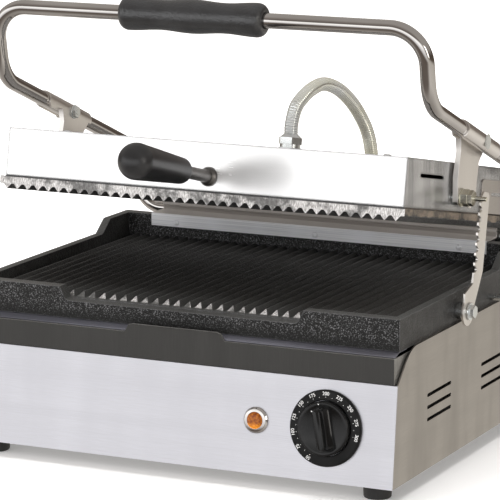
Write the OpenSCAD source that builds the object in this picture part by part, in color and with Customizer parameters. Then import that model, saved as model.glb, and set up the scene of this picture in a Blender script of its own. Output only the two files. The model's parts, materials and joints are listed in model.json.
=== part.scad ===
// Panini press: a contact grill with two ribbed cast plates, a tilting upper housing
// carried between two arms, a notched support bar and a drawer for the grease.
// Millimetres, +Z up. X runs along the width, -Y is the side that the user faces.

/* [Base housing] */
// Width over the side panels
base_w = 400; // [340:1:460]
// Depth from the front panel's foot to the rear panel
base_d = 385; // [340:1:430]
// Height of the side panels
side_h = 110; // [98:1:125]
// How far the front panel ends below the top of the side panels
front_drop = 26; // [22:0.5:30]
// Backward lean of the front panel, in degrees
front_lean = 6.2; // [3:0.1:8]
// Thickness of the folded sheet
sheet = 1.2; // [0.8:0.1:1.6]
// Height of the rubber feet
foot_h = 13; // [9:0.5:18]
// Radius of the rubber feet
foot_r = 12; // [9:0.5:15]

/* [Grease drawer] */
// How far the drawer's front wall ends below the top of the side panels
tray_drop = 3.7; // [3:0.1:8]
// Depth of the drawer
tray_d = 95; // [70:1:105]
// Width of the finger tab
tab_w = 92; // [60:1:120]
// Height of the finger tab above the wall
tab_h = 7; // [4:0.5:9]

/* [Lower plate] */
// How far the lower casting's sides stand inside the side panels' outer faces
lower_inset = 2.5; // [1:0.5:6]
// Front face of the lower casting, from the foot of the front panel
lower_y = 19; // [18:0.5:22]
// Depth of the deck behind the lower casting
deck_d = 80; // [72:0.5:88]
// Height of the front and side rims
rim_h = 26.5; // [24:0.5:32]
// Height of the rear wall
rear_rim_h = 38.5; // [34:0.5:44]
// Thickness of the front and rear rims
rim_t = 11; // [8:0.5:13]
// Thickness of the side rims at the top
side_rim_t = 7.5; // [6:0.5:8]
// Height of the cooking surface between the ribs
lower_floor = 15.5; // [14:0.5:18]
// Half width of the grease lip in the front rim
lip_half_w = 104.5; // [60:0.5:130]

/* [Ribs] */
// Distance between ribs
rib_pitch = 10; // [8:0.5:14]
// Height of the ribs on the lower plate
lower_rib_h = 4.5; // [3:0.1:6]
// Height of the ribs on the upper plate
upper_rib_h = 4.2; // [3:0.1:5]
// Width of a rib at its root
rib_root = 7.6; // [5:0.1:7.8]
// Width of a rib at its tip
rib_tip = 0.8; // [0.4:0.1:1.6]

/* [Upper housing] */
// How far the upper housing's sides stand inside the side panels' outer faces
top_inset = 15.6; // [14:0.1:20]
// Distance from the front of the lower casting back to the closed upper housing
top_setback = 25.6; // [22:0.2:32]
// Distance from the back of the closed upper housing to the back of the lower casting
top_short = 16.4; // [15:0.2:24]
// Height of the upper housing
top_h = 40.7; // [36:0.1:48]
// Forward rise of the upper housing where it rests, in degrees
top_tilt = 11; // [8:0.5:12]
// How far the upper plate stands out beyond the sides of its housing
plate_proud = 3.1; // [1:0.1:3.4]
// How far the upper plate stands out at the front
plate_nose = 4; // [2:0.5:6]
// Pivot of the upper housing, back from its front face
pivot_back = 110; // [95:1:125]
// Pivot of the upper housing, up from its lower edge
pivot_up = 12; // [10:0.5:18]
// Thickness of the upper casting between the ribs
upper_slab = 6.5; // [5:0.5:8]

/* [Arms and handle] */
// Diameter of the bent tube
tube_d = 12.7; // [12:0.1:14]
// Wall of the bent tube
tube_wall = 1.5; // [1:0.1:2.5]
// Hinge axis, in front of the rear panel
hinge_inset = 53; // [50:1:60]
// Hinge axis, above the top of the side panels
hinge_up = 38; // [36:0.5:42]
// Elevation of that pivot seen from the hinge, in degrees
pivot_elev = 21.1; // [20:0.1:23]
// Rise of the arm above the hinge, where the tube turns forwards
arm_rise = 52.5; // [48:0.5:60]
// Slope of the arms, in degrees
arm_slope = 21.6; // [20:0.1:24]
// How far the arms reach ahead of the pivot of the upper housing
arm_ahead = 89.5; // [70:0.5:110]
// Height of the handle above the arms
riser_len = 64.4; // [50:0.5:80]
// Slope of the riser, in degrees
riser_slope = 79.8; // [70:0.1:90]
// Bend radius at the handle's corners
handle_bend = 30; // [24:1:34]
// Bend radius between riser and arm
arm_bend = 36; // [24:1:40]
// Bend radius at the hinge end
hinge_bend = 24; // [18:1:26]
// Thickness of the two arm brackets
bracket_t = 1.5; // [1.2:0.1:1.8]
// Length of a bracket along the tube
saddle_len = 82; // [60:1:95]
// Gap between the upper housing and a bracket, filled by a spacer
spacer_len = 5; // [4.5:0.1:5.5]
// Length of the handle's grip
grip_len = 131; // [100:1:160]
// Largest diameter of the handle's grip
grip_d = 28.5; // [24:0.5:34]
// Sideways place of the handle's grip
grip_x = -9; // [-30:1:30]

/* [Support bar] */
// Number of notches
notches = 8; // [6:1:8]
// Distance between notches
notch_pitch = 8.41; // [8:0.01:8.6]
// Width of a notch
notch_w = 4.6; // [4.4:0.1:5]
// Depth of the teeth in front of the pin's centre
tooth_out = 2.5; // [1.5:0.1:2.6]
// Width of the bar behind the notches
bar_w = 17; // [13:0.5:18]
// Thickness of the bar
bar_t = 2; // [1.5:0.1:2.5]
// Radius of the bar's eye
eye_r = 12.5; // [10:0.5:14]
// How far the bar leans back from its pin where it rests, in degrees
bar_clear = 3.2; // [3.2:0.1:6]

/* [Front grip] */
// Length of the bare rod
rod_len = 50; // [40:1:60]
// Diameter of the rod
rod_d = 10.5; // [8:0.5:12]
// Length of the black grip to the ball's centre
ball_reach = 84; // [70:1:95]
// Radius of the ball
ball_r = 15; // [13:0.5:17]
// Sideways place of the rod
rod_x = 8; // [-20:1:20]
// Height of the rod above the lower edge of the housing
rod_up = 12; // [10:0.5:20]

/* [Controls] */
// Centre of the thermostat, in from the right side
dial_inset = 60.2; // [52:0.2:90]
// Centre of the thermostat and the lamp, down from the top of the front panel
dial_drop = 39.7; // [36:0.1:42]
// Radius of the fixed dial ring
dial_r = 31.6; // [26:0.2:36]
// Radius of the turning knob
knob_r = 22.5; // [18:0.5:25]
// Distance from the thermostat to the pilot lamp
lamp_gap = 62.8; // [50:0.2:80]
// Radius of the lamp's bezel
lamp_r = 11; // [9:0.5:12]

/* [Hidden] */
$fn = 48;

// Fits between pieces
seat = 0.05;     // radial play of a turning fit
clear = 0.3;     // play of a sliding fit
eps = 0.5;       // how far a cut runs past a face
lap = 0.5;       // how far a straight length reaches into its bend
swell = 0.02;    // how much thicker a bend is than the straight lengths it joins

// Levels and lines of the base
base_top = foot_h + side_h;
half_w = base_w / 2;
inner_w = half_w - sheet;
front_h = side_h - front_drop;
front_top = foot_h + front_h;
tray_h = front_drop - tray_drop - clear;
dial_x = half_w - dial_inset;
dial_h = front_h - dial_drop;
lamp_x = dial_x - lamp_gap;
front_back = front_h * tan(front_lean);
front_t = sheet / cos(front_lean);
front_step = sheet * tan(front_lean);
flange = 12;
foot_x = half_w - 22;
foot_y = [22, base_d - 22];
foot_screw_r = 2.5;
vent_len = 53;
vent_w = 3;
vent_pitch = 10.3;
vent_rows = 3;
vent_y = [0.19 * base_d, 0.508 * base_d];
vent_z = foot_h + 0.381 * side_h;
corner_r = 33;

// Lower casting
lower_w = base_w - 2 * lower_inset;
lower_back = base_d - deck_d;
lower_d = lower_back - lower_y;
dish_half = lower_w / 2 - side_rim_t;
dish_back = lower_back - rim_t;
lower_tip = base_top + lower_floor + lower_rib_h;
ear_y = lower_back - 63;
ear_run = 16;
element_d = 6.5;
element_bend = 15;

// Hinge, pivot and the frame of the upper housing
top_w = base_w - 2 * top_inset;
top_d = lower_d - top_setback - top_short;
hinge_y = base_d - hinge_inset;
hinge_z = base_top + hinge_up;
pivot_r = hinge_y - lower_y - top_setback - pivot_back;
pivot_y = hinge_y - pivot_r * cos(pivot_elev);
pivot_z = hinge_z + pivot_r * sin(pivot_elev);
top_y = pivot_y - pivot_back * cos(top_tilt) - pivot_up * sin(top_tilt);
top_z = pivot_z + pivot_back * sin(top_tilt) - pivot_up * cos(top_tilt);
top_half = top_w / 2;
upper_half = top_half + plate_proud;
plate_ledge = 1;
top_post_x = top_half - 34.4;
top_post_y = [40, top_d - 39];
top_slots = [[pivot_back - 79, 52], [top_d - 49, 37]];
top_slot_z = top_h - 13.7;

// Bent tube and its brackets, outwards from the upper housing
bracket_x = top_half + 0.1 + spacer_len;
arm_x = bracket_x + bracket_t + tube_d / 2 + seat;
arm_out = arm_x + tube_d / 2 + seat + bracket_t;
rear_corner = [hinge_y, hinge_z + arm_rise];
pivot_along = (hinge_y - pivot_y) / cos(arm_slope);
arm_len = pivot_along + arm_ahead / cos(arm_slope);
front_corner = rear_corner + arm_len * [-cos(arm_slope), sin(arm_slope)];
handle_at = front_corner + riser_len * [-cos(riser_slope), sin(riser_slope)];
bearing_x = half_w - 50;
bearing_w = 12;
axle_in = bearing_x - 4;
pivot_bolt_r = 4;
pin_r = 2;
nut_af = 13;
nut_h = 6;
lock_nut_h = 4.5;
washer_t = 1.2;

// Support bar
bar_x = arm_out + 0.5;
pin_end = bar_x + bar_t + 6;
bar_behind = 20.9;
bar_eye = [pivot_y - bar_behind, base_top + 9.76];
bar_reach = norm([bar_behind, pivot_z - bar_eye[1]]);
notch_line = 1.4;
bar_lean = atan2(bar_behind, pivot_z - bar_eye[1]) - asin(notch_line / bar_reach);
notch_skew = 3;
rest_pin_y = bar_eye[0] + 72;
rest_pin_z = base_top + 8;

// Front grip
ball_front = rod_len + ball_reach + ball_r;
rod_rise = 3;

// Cable hose between base and upper housing, on the line of its centre
hose_r = 6.25;
hose_sides = 10;
hose_shares = [
    [0, 0, 0], [0, 0.0075, -0.0667], [0.0526, 0.0519, -0.1759], [0.1579, 0.126, -0.2431],
    [0.2632, 0.2445, -0.2935], [0.3684, 0.4, -0.3103], [0.5263, 0.5778, -0.2515], [0.6842, 0.7482, -0.1339],
    [0.7895, 0.8889, 0.0089], [0.8947, 0.9778, 0.1517], [0.9474, 1.0222, 0.3029], [1, 1.0296, 0.4876],
    [1, 1.0148, 0.6724], [1, 1, 1]
];
gland_h = 16;
hose_root = [5, top_d - 78];
hose_foot = [24, base_d - 20];
inlet_at = [80 - half_w, foot_h + 0.36 * side_h];

// The origin lies on the floor, under the middle of the whole press
reach_front = top_y - (ball_front - ball_r) * cos(top_tilt + rod_rise) + rod_up * sin(top_tilt) - ball_r;
inlet_size = 0.8;
reach_back = base_d + inlet_size * gland_h;
y_shift = -(reach_front + reach_back) / 2;

// ---------------------------------------------------------------- helpers

function unit(v) = v / norm(v);

// Points on an arc about c, from angle a to angle b
function arc(c, r, a, b, n = 8) = [for (i = [0 : n]) c + r * [cos(a + (b - a) * i / n), sin(a + (b - a) * i / n)]];

// Centres of a row of ribs that fits in a half width
function rib_rows(half) = let (n = floor((half - rib_root / 2) / rib_pitch)) [for (i = [-n : n]) i * rib_pitch];

// Upper edge of a ribbed section, from left to right
function rib_edge(half, level, height) = [
    for (x = rib_rows(half)) each [
        [x - rib_root / 2, level], [x - rib_tip / 2, level + height],
        [x + rib_tip / 2, level + height], [x + rib_root / 2, level]
    ]
];

// A section drawn in Y and Z, run along X
module along_x(x0, x1) {
    translate([x0, 0, 0]) rotate([90, 0, 90]) linear_extrude(x1 - x0) children();
}

// A section drawn in X and Z, run along Y
module along_y(y0, y1) {
    translate([0, y1, 0]) rotate([90, 0, 0]) linear_extrude(y1 - y0) children();
}

module block(x0, x1, y0, y1, z0, z1) {
    translate([x0, y0, z0]) cube([x1 - x0, y1 - y0, z1 - z0]);
}

// A cylinder along X
module rod_x(x0, x1, r) {
    translate([x0, 0, 0]) rotate([0, 90, 0]) cylinder(r = r, h = x1 - x0);
}

module hex_x(x0, x1, across) {
    translate([x0, 0, 0]) rotate([0, 90, 0]) cylinder(d = across / cos(30), h = x1 - x0, $fn = 6);
}

// A slot with round ends, lying along its local X
module slot(length, width, depth) {
    linear_extrude(depth) {
        translate([width / 2, 0]) circle(d = width);
        translate([length - width / 2, 0]) circle(d = width);
        translate([width / 2, -width / 2]) square([length - width, width]);
    }
}

module both_sides() {
    children();
    mirror([1, 0, 0]) children();
}

// A frame at p with its x and z axes given, z being the direction of the run
module frame_at(p, x, z) {
    y = cross(z, x);
    multmatrix([
        [x[0], y[0], z[0], p[0]], [x[1], y[1], z[1], p[1]], [x[2], y[2], z[2], p[2]], [0, 0, 0, 1]
    ]) children();
}

// Distance from a corner to where its bend starts
function bend_run(a, b, c, r) = r * tan((180 - acos(unit(a - b) * unit(c - b))) / 2);

// A round bar along corner points, with a bend radius at each inner corner. The straight
// lengths reach a little into the bends, which are a hair thicker, so that they join cleanly
module bent_bar(points, radii, r) {
    last = len(points) - 1;
    for (i = [0 : last - 1]) {
        along = unit(points[i + 1] - points[i]);
        start = i == 0 ? 0 : bend_run(points[i - 1], points[i], points[i + 1], radii[i - 1]) - lap;
        stop = i == last - 1 ? 0 : bend_run(points[i], points[i + 1], points[i + 2], radii[i]) - lap;
        side = abs(along[0]) > 0.9 ? [0, 1, 0] : [1, 0, 0];
        frame_at(points[i] + along * start, unit(cross(cross(along, side), along)), along)
            cylinder(r = r, h = norm(points[i + 1] - points[i]) - start - stop);
    }
    for (i = [1 : last - 1]) {
        a = unit(points[i - 1] - points[i]);
        b = unit(points[i + 1] - points[i]);
        turn = 180 - acos(a * b);
        run = bend_run(points[i - 1], points[i], points[i + 1], radii[i - 1]);
        centre = points[i] + unit(a + b) * radii[i - 1] / cos(turn / 2);
        out = unit(points[i] + a * run - centre);
        frame_at(centre, out, cross(out, -a))
            rotate_extrude(angle = turn) translate([radii[i - 1], 0]) circle(r = r + swell);
    }
}

// Stands on the front panel: local Z points out of it
module on_panel(x, h) {
    translate([x, h * tan(front_lean), foot_h + h]) rotate([90 - front_lean, 0, 0]) children();
}

// The upper housing's own frame: origin at its lower front edge, Y back, Z up
module on_top() {
    translate([0, top_y, top_z]) rotate([-top_tilt, 0, 0]) children();
}

// The arm tube's own line: origin at the rear corner, Y forwards and up along the tube
module on_arm() {
    translate([0, rear_corner[0], rear_corner[1]]) rotate([180 - arm_slope, 0, 0]) children();
}

// The support bar's own frame: origin at its eye, Y back, Z up the bar
module on_bar() {
    translate([0, bar_eye[0], bar_eye[1]]) rotate([-bar_lean - bar_clear, 0, 0]) children();
}

module at_pivot() {
    translate([0, pivot_y, pivot_z]) children();
}

module at_hinge() {
    translate([0, hinge_y, hinge_z]) children();
}

// ---------------------------------------------------------------- base housing

// Inclined front sheet with a lip folded back at the top and another at the foot
module front_panel() {
    color("gainsboro") difference() {
        along_x(-half_w, half_w) polygon([
            [0, foot_h], [flange, foot_h], [flange, foot_h + sheet], [front_t + front_step, foot_h + sheet],
            [front_back + front_t - front_step, front_top - sheet], [front_back + flange, front_top - sheet],
            [front_back + flange, front_top], [front_back, front_top]
        ]);
        both_sides() {
            block(inner_w - 0.1, half_w + eps, front_t, flange + eps, foot_h - eps, foot_h + sheet);
            block(inner_w - 0.1, half_w + eps, front_back + front_t - front_step, front_back + flange + eps, front_top - sheet, front_top + eps);
        }
        on_panel(dial_x, dial_h) translate([0, 0, -3 * sheet]) cylinder(r = 5, h = 6 * sheet);
        on_panel(lamp_x, dial_h) translate([0, 0, -3 * sheet]) cylinder(r = lamp_r - 3, h = 6 * sheet);
    }
}

// Outline of a side panel behind the front panel
function side_outline() = let (
    slope = 43.4,
    behind = front_t + 0.1,
    crest = front_back + behind + (side_h - front_h) / tan(slope),
    run = corner_r * tan(slope / 2)
) concat(
    [[behind, foot_h], [front_back + behind, front_top]],
    arc([crest + run, base_top - corner_r], corner_r, 90 + slope, 90),
    [[base_d - sheet, base_top], [base_d - sheet, foot_h]]
);

module side_vents() {
    for (y = vent_y, row = [0 : vent_rows - 1])
        translate([half_w - 2 * sheet, y, vent_z + row * vent_pitch])
            rotate([90, 0, 90]) slot(vent_len, vent_w, 3 * sheet);
}

module side_panel() {
    difference() {
        union() {
            along_x(inner_w, half_w) polygon(side_outline());
            block(inner_w - flange, inner_w, front_back + flange + 30, lower_back, base_top - sheet, base_top);
        }
        side_vents();
    }
}

module side_panel_right() {
    color("darkgray") side_panel();
}

module side_panel_left() {
    color("darkgray") mirror([1, 0, 0]) side_panel();
}

// Rear wall and the deck behind the lower plate, folded from one sheet
module rear_panel() {
    deck_y = lower_back - 6;
    color("silver") difference() {
        along_x(-inner_w, inner_w) polygon([
            [base_d, foot_h], [base_d, base_top], [lower_back + clear, base_top], [lower_back + clear, base_top - sheet],
            [deck_y, base_top - sheet], [deck_y, base_top - 2 * sheet], [lower_back + 2, base_top - 2 * sheet],
            [lower_back + 3, base_top - sheet],
            [base_d - sheet, base_top - sheet], [base_d - sheet, foot_h]
        ]);
        translate([hose_foot[0], hose_foot[1], base_top - 2 * sheet]) cylinder(r = hose_r + 1, h = 4 * sheet);
        translate([inlet_at[0], base_d - 2 * sheet, inlet_at[1]]) rotate([-90, 0, 0]) cylinder(r = 7, h = 4 * sheet);
        for (x = [-0.3, 0.1, 0.5] * half_w, row = [0 : vent_rows - 1])
            translate([x, base_d + sheet, vent_z + row * vent_pitch]) rotate([90, 0, 0]) slot(vent_len, vent_w, 3 * sheet);
    }
}

module bottom_plate() {
    color("silver") difference() {
        block(-inner_w + flange, inner_w - flange, flange, base_d - sheet, foot_h, foot_h + sheet);
        for (x = [-foot_x, foot_x], y = foot_y)
            translate([x, y, foot_h - eps]) cylinder(r = foot_screw_r, h = sheet + 2 * eps);
        for (row = [0 : 7])
            translate([-80, 90 + row * 14, foot_h - eps]) slot(160, 5, sheet + 2 * eps);
    }
}

// Tapered rubber foot with a pocket for its screw
module foot(x, y) {
    color("dimgray") translate([x, y, 0]) rotate_extrude() polygon([
        [4.5, 0], [foot_r - 1.5, 0], [foot_r - 0.5, 1], [foot_r, foot_h],
        [foot_screw_r, foot_h], [foot_screw_r, foot_h - 5], [4.5, foot_h - 5]
    ]);
}

module foot_front_left() { foot(-foot_x, foot_y[0]); }
module foot_front_right() { foot(foot_x, foot_y[0]); }
module foot_rear_left() { foot(-foot_x, foot_y[1]); }
module foot_rear_right() { foot(foot_x, foot_y[1]); }

module foot_screws() {
    color("silver") for (x = [-foot_x, foot_x], y = foot_y) translate([x, y, 0]) {
        translate([0, 0, foot_h - 7.5]) cylinder(r = 4.2, h = 2.5);
        translate([0, 0, foot_h - 5]) cylinder(r = foot_screw_r, h = 5 + 2 * sheet);
    }
}

// ---------------------------------------------------------------- lower plate

// Front opening of the rim, where the grease runs out
module grease_lip() {
    level = base_top + lower_floor - 0.5;
    rise = base_top + rim_h + eps - level;
    along_y(lower_y - eps, lower_y + rim_t + eps) polygon([
        [-lip_half_w, level], [lip_half_w, level], [lip_half_w + 3, level + 1.2],
        [lip_half_w + 8.2 + eps, level + rise], [-lip_half_w - 8.2 - eps, level + rise], [-lip_half_w - 3, level + 1.2]
    ]);
}

// Ribbed casting with a rim all round, raised towards the rear
module lower_plate() {
    floor_z = base_top + lower_floor;
    rim_z = base_top + rim_h;
    wall_z = base_top + rear_rim_h;
    color("dimgray") difference() {
        along_x(-lower_w / 2, lower_w / 2) polygon([
            [lower_y, base_top], [lower_y, rim_z], [ear_y, rim_z], [ear_y + ear_run, wall_z],
            [lower_back, wall_z], [lower_back, base_top]
        ]);
        along_y(lower_y + rim_t, dish_back) polygon(concat(
            [[-dish_half + 2, floor_z]], rib_edge(dish_half - 2, floor_z, lower_rib_h),
            [[dish_half - 2, floor_z], [dish_half, rim_z], [dish_half, wall_z + eps], [-dish_half, wall_z + eps], [-dish_half, rim_z]]
        ));
        along_x(-dish_half + 2, dish_half - 2) polygon([
            [lower_y + rim_t, floor_z], [lower_y + rim_t + 3, floor_z],
            [lower_y + rim_t + 9, floor_z + lower_rib_h + eps], [lower_y + rim_t, floor_z + lower_rib_h + eps]
        ]);
        grease_lip();
        block(32.5 - lower_w / 2, lower_w / 2 - 32.5, lower_y + 45, lower_back - 25, base_top - eps, base_top + 8);
        translate([0, bar_eye[0], bar_eye[1]]) rod_x(lower_w / 2 - 6, lower_w / 2 + eps, pivot_bolt_r);
        translate([0, rest_pin_y, rest_pin_z]) rod_x(lower_w / 2 - 6, lower_w / 2 + eps, pivot_bolt_r - 1);
    }
}

// Sheathed element in the recess under the plate, its two ends turned down
module lower_heating_element() {
    z = base_top + 8 - element_d / 2;
    back = lower_back - 50;
    front = lower_y + 85;
    mid = back - 55;
    side = lower_w / 2 - 57.5;
    loop = side - 90;
    color("slategray") bent_bar(
        [
            [-20, back, z - 30], [-20, back, z], [-side, back, z], [-side, front, z], [-loop, front, z],
            [-loop, mid, z], [loop, mid, z], [loop, front, z], [side, front, z], [side, back, z],
            [20, back, z], [20, back, z - 30]
        ],
        [for (i = [0 : 9]) element_bend], element_d / 2
    );
}

// Strap that presses the element against the plate, on two spacer feet
module lower_element_clamp() {
    y = (lower_y + lower_back) / 2 - 13;
    under = base_top + 8 - element_d;
    half = lower_w / 2 - 47.5;
    color("silver") {
        block(-half, half, y, y + 24, under - 2, under);
        for (x = [50 - half, half - 50]) translate([x, y + 12, under]) cylinder(r = 5, h = element_d);
        for (x = [50 - half, half - 50]) translate([x, y + 12, under - 6]) cylinder(d = 10, h = 4, $fn = 6);
    }
}

// ---------------------------------------------------------------- grease drawer

// Shallow drawer between front panel and plate, with a finger tab in the middle
module grease_tray() {
    wall = 1;
    z0 = front_top + clear;
    z1 = z0 + tray_h;
    y0 = front_back - 0.2;
    half = inner_w - 1.6;
    color("dimgray") {
        difference() {
            block(-half, half, y0, y0 + tray_d, z0, z1);
            block(-half + wall, half - wall, y0 + 2 * wall, y0 + tray_d - wall, z0 + wall, z1 + eps);
        }
        along_y(y0, y0 + 2 * wall) polygon([
            [-tab_w / 2, z1], [tab_w / 2, z1], [tab_w / 2 - 3, z1 + tab_h * 0.8],
            [tab_w / 2 - 7, z1 + tab_h], [-tab_w / 2 + 7, z1 + tab_h], [-tab_w / 2 + 3, z1 + tab_h * 0.8]
        ]);
    }
}

// ---------------------------------------------------------------- controls

// Fixed ring with the temperature scale
module dial_ring() {
    color("black") on_panel(dial_x, dial_h) rotate_extrude() polygon([
        [knob_r + clear, 0], [dial_r, 0], [dial_r, 2], [dial_r - 1.2, 3.2], [knob_r + clear + 1, 3.6], [knob_r + clear, 3]
    ]);
}

// Turning knob: a disc with a raised grip bar, and the shaft that it sits on
module control_knob() {
    color("black") on_panel(dial_x, dial_h) {
        translate([0, 0, clear]) rotate_extrude() polygon([
            [0, 0], [knob_r, 0], [knob_r, 6.5], [knob_r - 1.5, 8], [0, 8]
        ]);
        translate([0, 0, 8]) rotate([0, 0, 12]) {
            translate([-3.5, -knob_r + 4, 0]) cube([7, 2 * knob_r - 8, 9]);
            translate([0, knob_r - 4, 0]) cylinder(r = 3.5, h = 9);
            translate([0, -knob_r + 4, 0]) cylinder(r = 3.5, h = 9);
        }
        translate([0, 0, -12]) cylinder(r = 3, h = 12 + clear);
    }
}

module thermostat_body() {
    color("white") on_panel(dial_x, dial_h) difference() {
        union() {
            translate([-16, -16, -26]) cube([32, 32, 26 - 1.2 * sheet]);
            for (x = [-8, 8], y = [-8, 8]) translate([x - 3, y - 0.4, -36]) cube([6, 0.8, 11]);
        }
        translate([0, 0, -14]) cylinder(r = 3 + seat, h = 15);
    }
}

module lamp_bezel() {
    color("silver") on_panel(lamp_x, dial_h) rotate_extrude() polygon([
        [lamp_r - 4, 0], [lamp_r, 0], [lamp_r, 1.2], [lamp_r - 1.5, 2.8], [lamp_r - 4, 3.2]
    ]);
}

// Amber lens with a flat faceted face
module lamp_lens() {
    color("darkorange") on_panel(lamp_x, dial_h) {
        cylinder(r = lamp_r - 4, h = 3.4);
        translate([0, 0, 3.4]) cylinder(r1 = lamp_r - 4.2, r2 = lamp_r - 6, h = 1.4);
    }
}

module lamp_body() {
    color("white") on_panel(lamp_x, dial_h) {
        translate([0, 0, -22]) cylinder(r = lamp_r - 3.2, h = 22);
        translate([0, 0, -1.2 * sheet - 4]) cylinder(r = lamp_r - 1, h = 4 - 0.2);
        for (x = [-4, 4]) translate([x - 2.4, -0.4, -30]) cube([4.8, 0.8, 9]);
    }
}

// Mains terminals on the floor of the housing
module terminal_block() {
    color("ivory") translate([50 - half_w, base_d - 70, foot_h + sheet]) difference() {
        cube([60, 20, 16]);
        for (i = [0 : 4]) {
            translate([6 + i * 12, 10, 10]) cylinder(r = 2.6, h = 10);
            translate([6 + i * 12, -eps, 8]) rotate([-90, 0, 0]) cylinder(r = 2, h = 21);
        }
    }
}

// ---------------------------------------------------------------- cable glands and hose

// Hexagonal gland body with a domed nut; local Z points along the cable
module gland(r, bore) {
    difference() {
        union() {
            translate([0, 0, -4]) cylinder(r = bore + 1, h = 4);
            cylinder(r = r * 1.12, h = 3, $fn = 6);
            translate([0, 0, 3]) cylinder(r = r * 0.92, h = 3);
            translate([0, 0, 6]) cylinder(r = r * 1.12, h = 6, $fn = 6);
            translate([0, 0, 12]) cylinder(r1 = r * 0.95, r2 = bore + 1, h = gland_h - 12);
        }
        translate([0, 0, -5]) cylinder(r = bore, h = 10);
    }
}

module conduit_gland_top() {
    color("silver") on_top() translate([hose_root[0], hose_root[1], top_h]) gland(10, hose_r - 2);
}

module conduit_gland_base() {
    color("silver") translate([hose_foot[0], hose_foot[1], base_top]) gland(10, hose_r - 2);
}

module inlet_gland() {
    color("black") translate([inlet_at[0], base_d, inlet_at[1]]) rotate([-90, 0, 0]) scale(inlet_size) gland(10, 5);
}

// End of the top gland, where the hose starts
function hose_start() = let (c = cos(top_tilt), s = sin(top_tilt), h = top_h + gland_h)
    [hose_root[0], top_y + hose_root[1] * c + h * s, top_z - hose_root[1] * s + h * c];

// Points of the hose's line, each a share of the way from the top gland to the lower one
function hose_points() = let (
    start = hose_start(),
    way = [hose_foot[0], hose_foot[1], base_top + gland_h] - start
) [for (f = hose_shares) [start[0] + f[0] * way[0], start[1] + f[1] * way[1], start[2] + f[2] * way[2]]];

// Catmull-Rom point on the hose's line, t counting from point to point
function hose_at(p, t) = let (
    n = len(p) - 1, i = min(floor(t), n - 1), u = t - i,
    a = p[max(i - 1, 0)], b = p[i], c = p[i + 1], d = p[min(i + 2, n)]
) 0.5 * (2 * b + (c - a) * u + (2 * a - 5 * b + 4 * c - d) * u * u + (3 * b - a - 3 * c + d) * u * u * u);

// Corrugated metal hose, drawn plain
module conduit_hose() {
    p = hose_points();
    rings = 2 * (len(p) - 1);
    top_dir = [0, sin(top_tilt), cos(top_tilt)];
    line = [for (k = [0 : rings]) hose_at(p, k / 2)];
    dirs = [for (k = [0 : rings]) k == 0 ? top_dir : k == rings ? [0, 0, -1] : unit(line[k + 1] - line[k - 1])];
    verts = [
        for (k = [0 : rings]) let (side = unit(cross([0, 0.6, 0.8], cross([1, 0, 0], [0, 0.6, 0.8]))), up = unit(cross(dirs[k], [1, 0, 0])), across = cross(up, dirs[k]))
            for (j = [0 : hose_sides - 1]) line[k] + hose_r * (cos(360 * j / hose_sides) * across + sin(360 * j / hose_sides) * up)
    ];
    color("gray") polyhedron(verts, concat(
        [[for (j = [0 : hose_sides - 1]) j]],
        [for (k = [0 : rings - 1], j = [0 : hose_sides - 1]) [
            k * hose_sides + j, (k + 1) * hose_sides + j,
            (k + 1) * hose_sides + (j + 1) % hose_sides, k * hose_sides + (j + 1) % hose_sides
        ]],
        [[for (j = [hose_sides - 1 : -1 : 0]) rings * hose_sides + j]]
    ));
}

// ---------------------------------------------------------------- hinge

// Bearing block for one end of the bent tube, standing on the deck
module hinge_block() {
    color("slategray") difference() {
        along_x(bearing_x, bearing_x + bearing_w) polygon(concat(
            [[hinge_y + 20, base_top], [hinge_y + 20, base_top + 5], [hinge_y + 11, base_top + 9]],
            arc([hinge_y, hinge_z], 11, 0, 180, 16),
            [[hinge_y - 11, base_top + 9], [hinge_y - 20, base_top + 5], [hinge_y - 20, base_top]]
        ));
        at_hinge() rod_x(bearing_x - eps, bearing_x + bearing_w + eps, tube_d / 2 + seat);
    }
}

module hinge_block_right() { hinge_block(); }
module hinge_block_left() { mirror([1, 0, 0]) hinge_block(); }

// Zinc rings that keep the tube's ends in their bearings
module hinge_collars() {
    color("silver") both_sides() at_hinge() difference() {
        rod_x(bearing_x + bearing_w + clear, bearing_x + bearing_w + clear + 6, 9.5);
        rod_x(bearing_x + bearing_w, bearing_x + bearing_w + 8, tube_d / 2);
    }
}

// Folded hood over the hinge: a flat strip in front, two long grooves, a top and a back
module hinge_cover() {
    half = bearing_x + bearing_w + 3.7;
    y0 = dish_back - sheet;
    strip_z = base_top + 28.5;
    lip_z = base_top + rear_rim_h + clear;
    crest = hinge_z + 11 + 1;
    y1 = hinge_y - 15;
    y2 = hinge_y + 22;
    groove = (crest - lip_z) / 3;
    color("silver") difference() {
        along_x(-half, half) polygon([
            [y0, strip_z], [y0, lip_z + sheet], [y1, lip_z + sheet], [y1 + 1.6, lip_z + groove],
            [y1, lip_z + 1.5 * groove], [y1, lip_z + 2 * groove], [y1 + 1.6, lip_z + 2.5 * groove], [y1, crest],
            [y1, crest + sheet], [y2, crest + sheet], [y2, base_top], [y2 - sheet, base_top],
            [y2 - sheet, crest], [y1 + sheet + 1, crest], [y1 + sheet + 2, lip_z + 2.5 * groove],
            [y1 + sheet + 0.4, lip_z + 2 * groove], [y1 + sheet + 0.4, lip_z + 1.5 * groove], [y1 + sheet + 2, lip_z + groove],
            [y1 + sheet + 0.4, lip_z], [y0 + sheet, lip_z], [y0 + sheet, strip_z]
        ]);
        at_cover_screws() translate([0, 0, -2 * sheet]) cylinder(r = 1.6, h = 3 * sheet);
    }
}

// On the hood's front strip, Z forwards
module at_cover_screws() {
    for (x = [10 - bearing_x, 0, bearing_x - 10])
        translate([x, dish_back - sheet, base_top + 32.5]) rotate([90, 0, 0]) children();
}

module cover_screws() {
    color("silver") at_cover_screws() {
        cylinder(r = 3.2, h = 1.6);
        translate([0, 0, -sheet]) cylinder(r = 1.6, h = sheet);
    }
}

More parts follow.
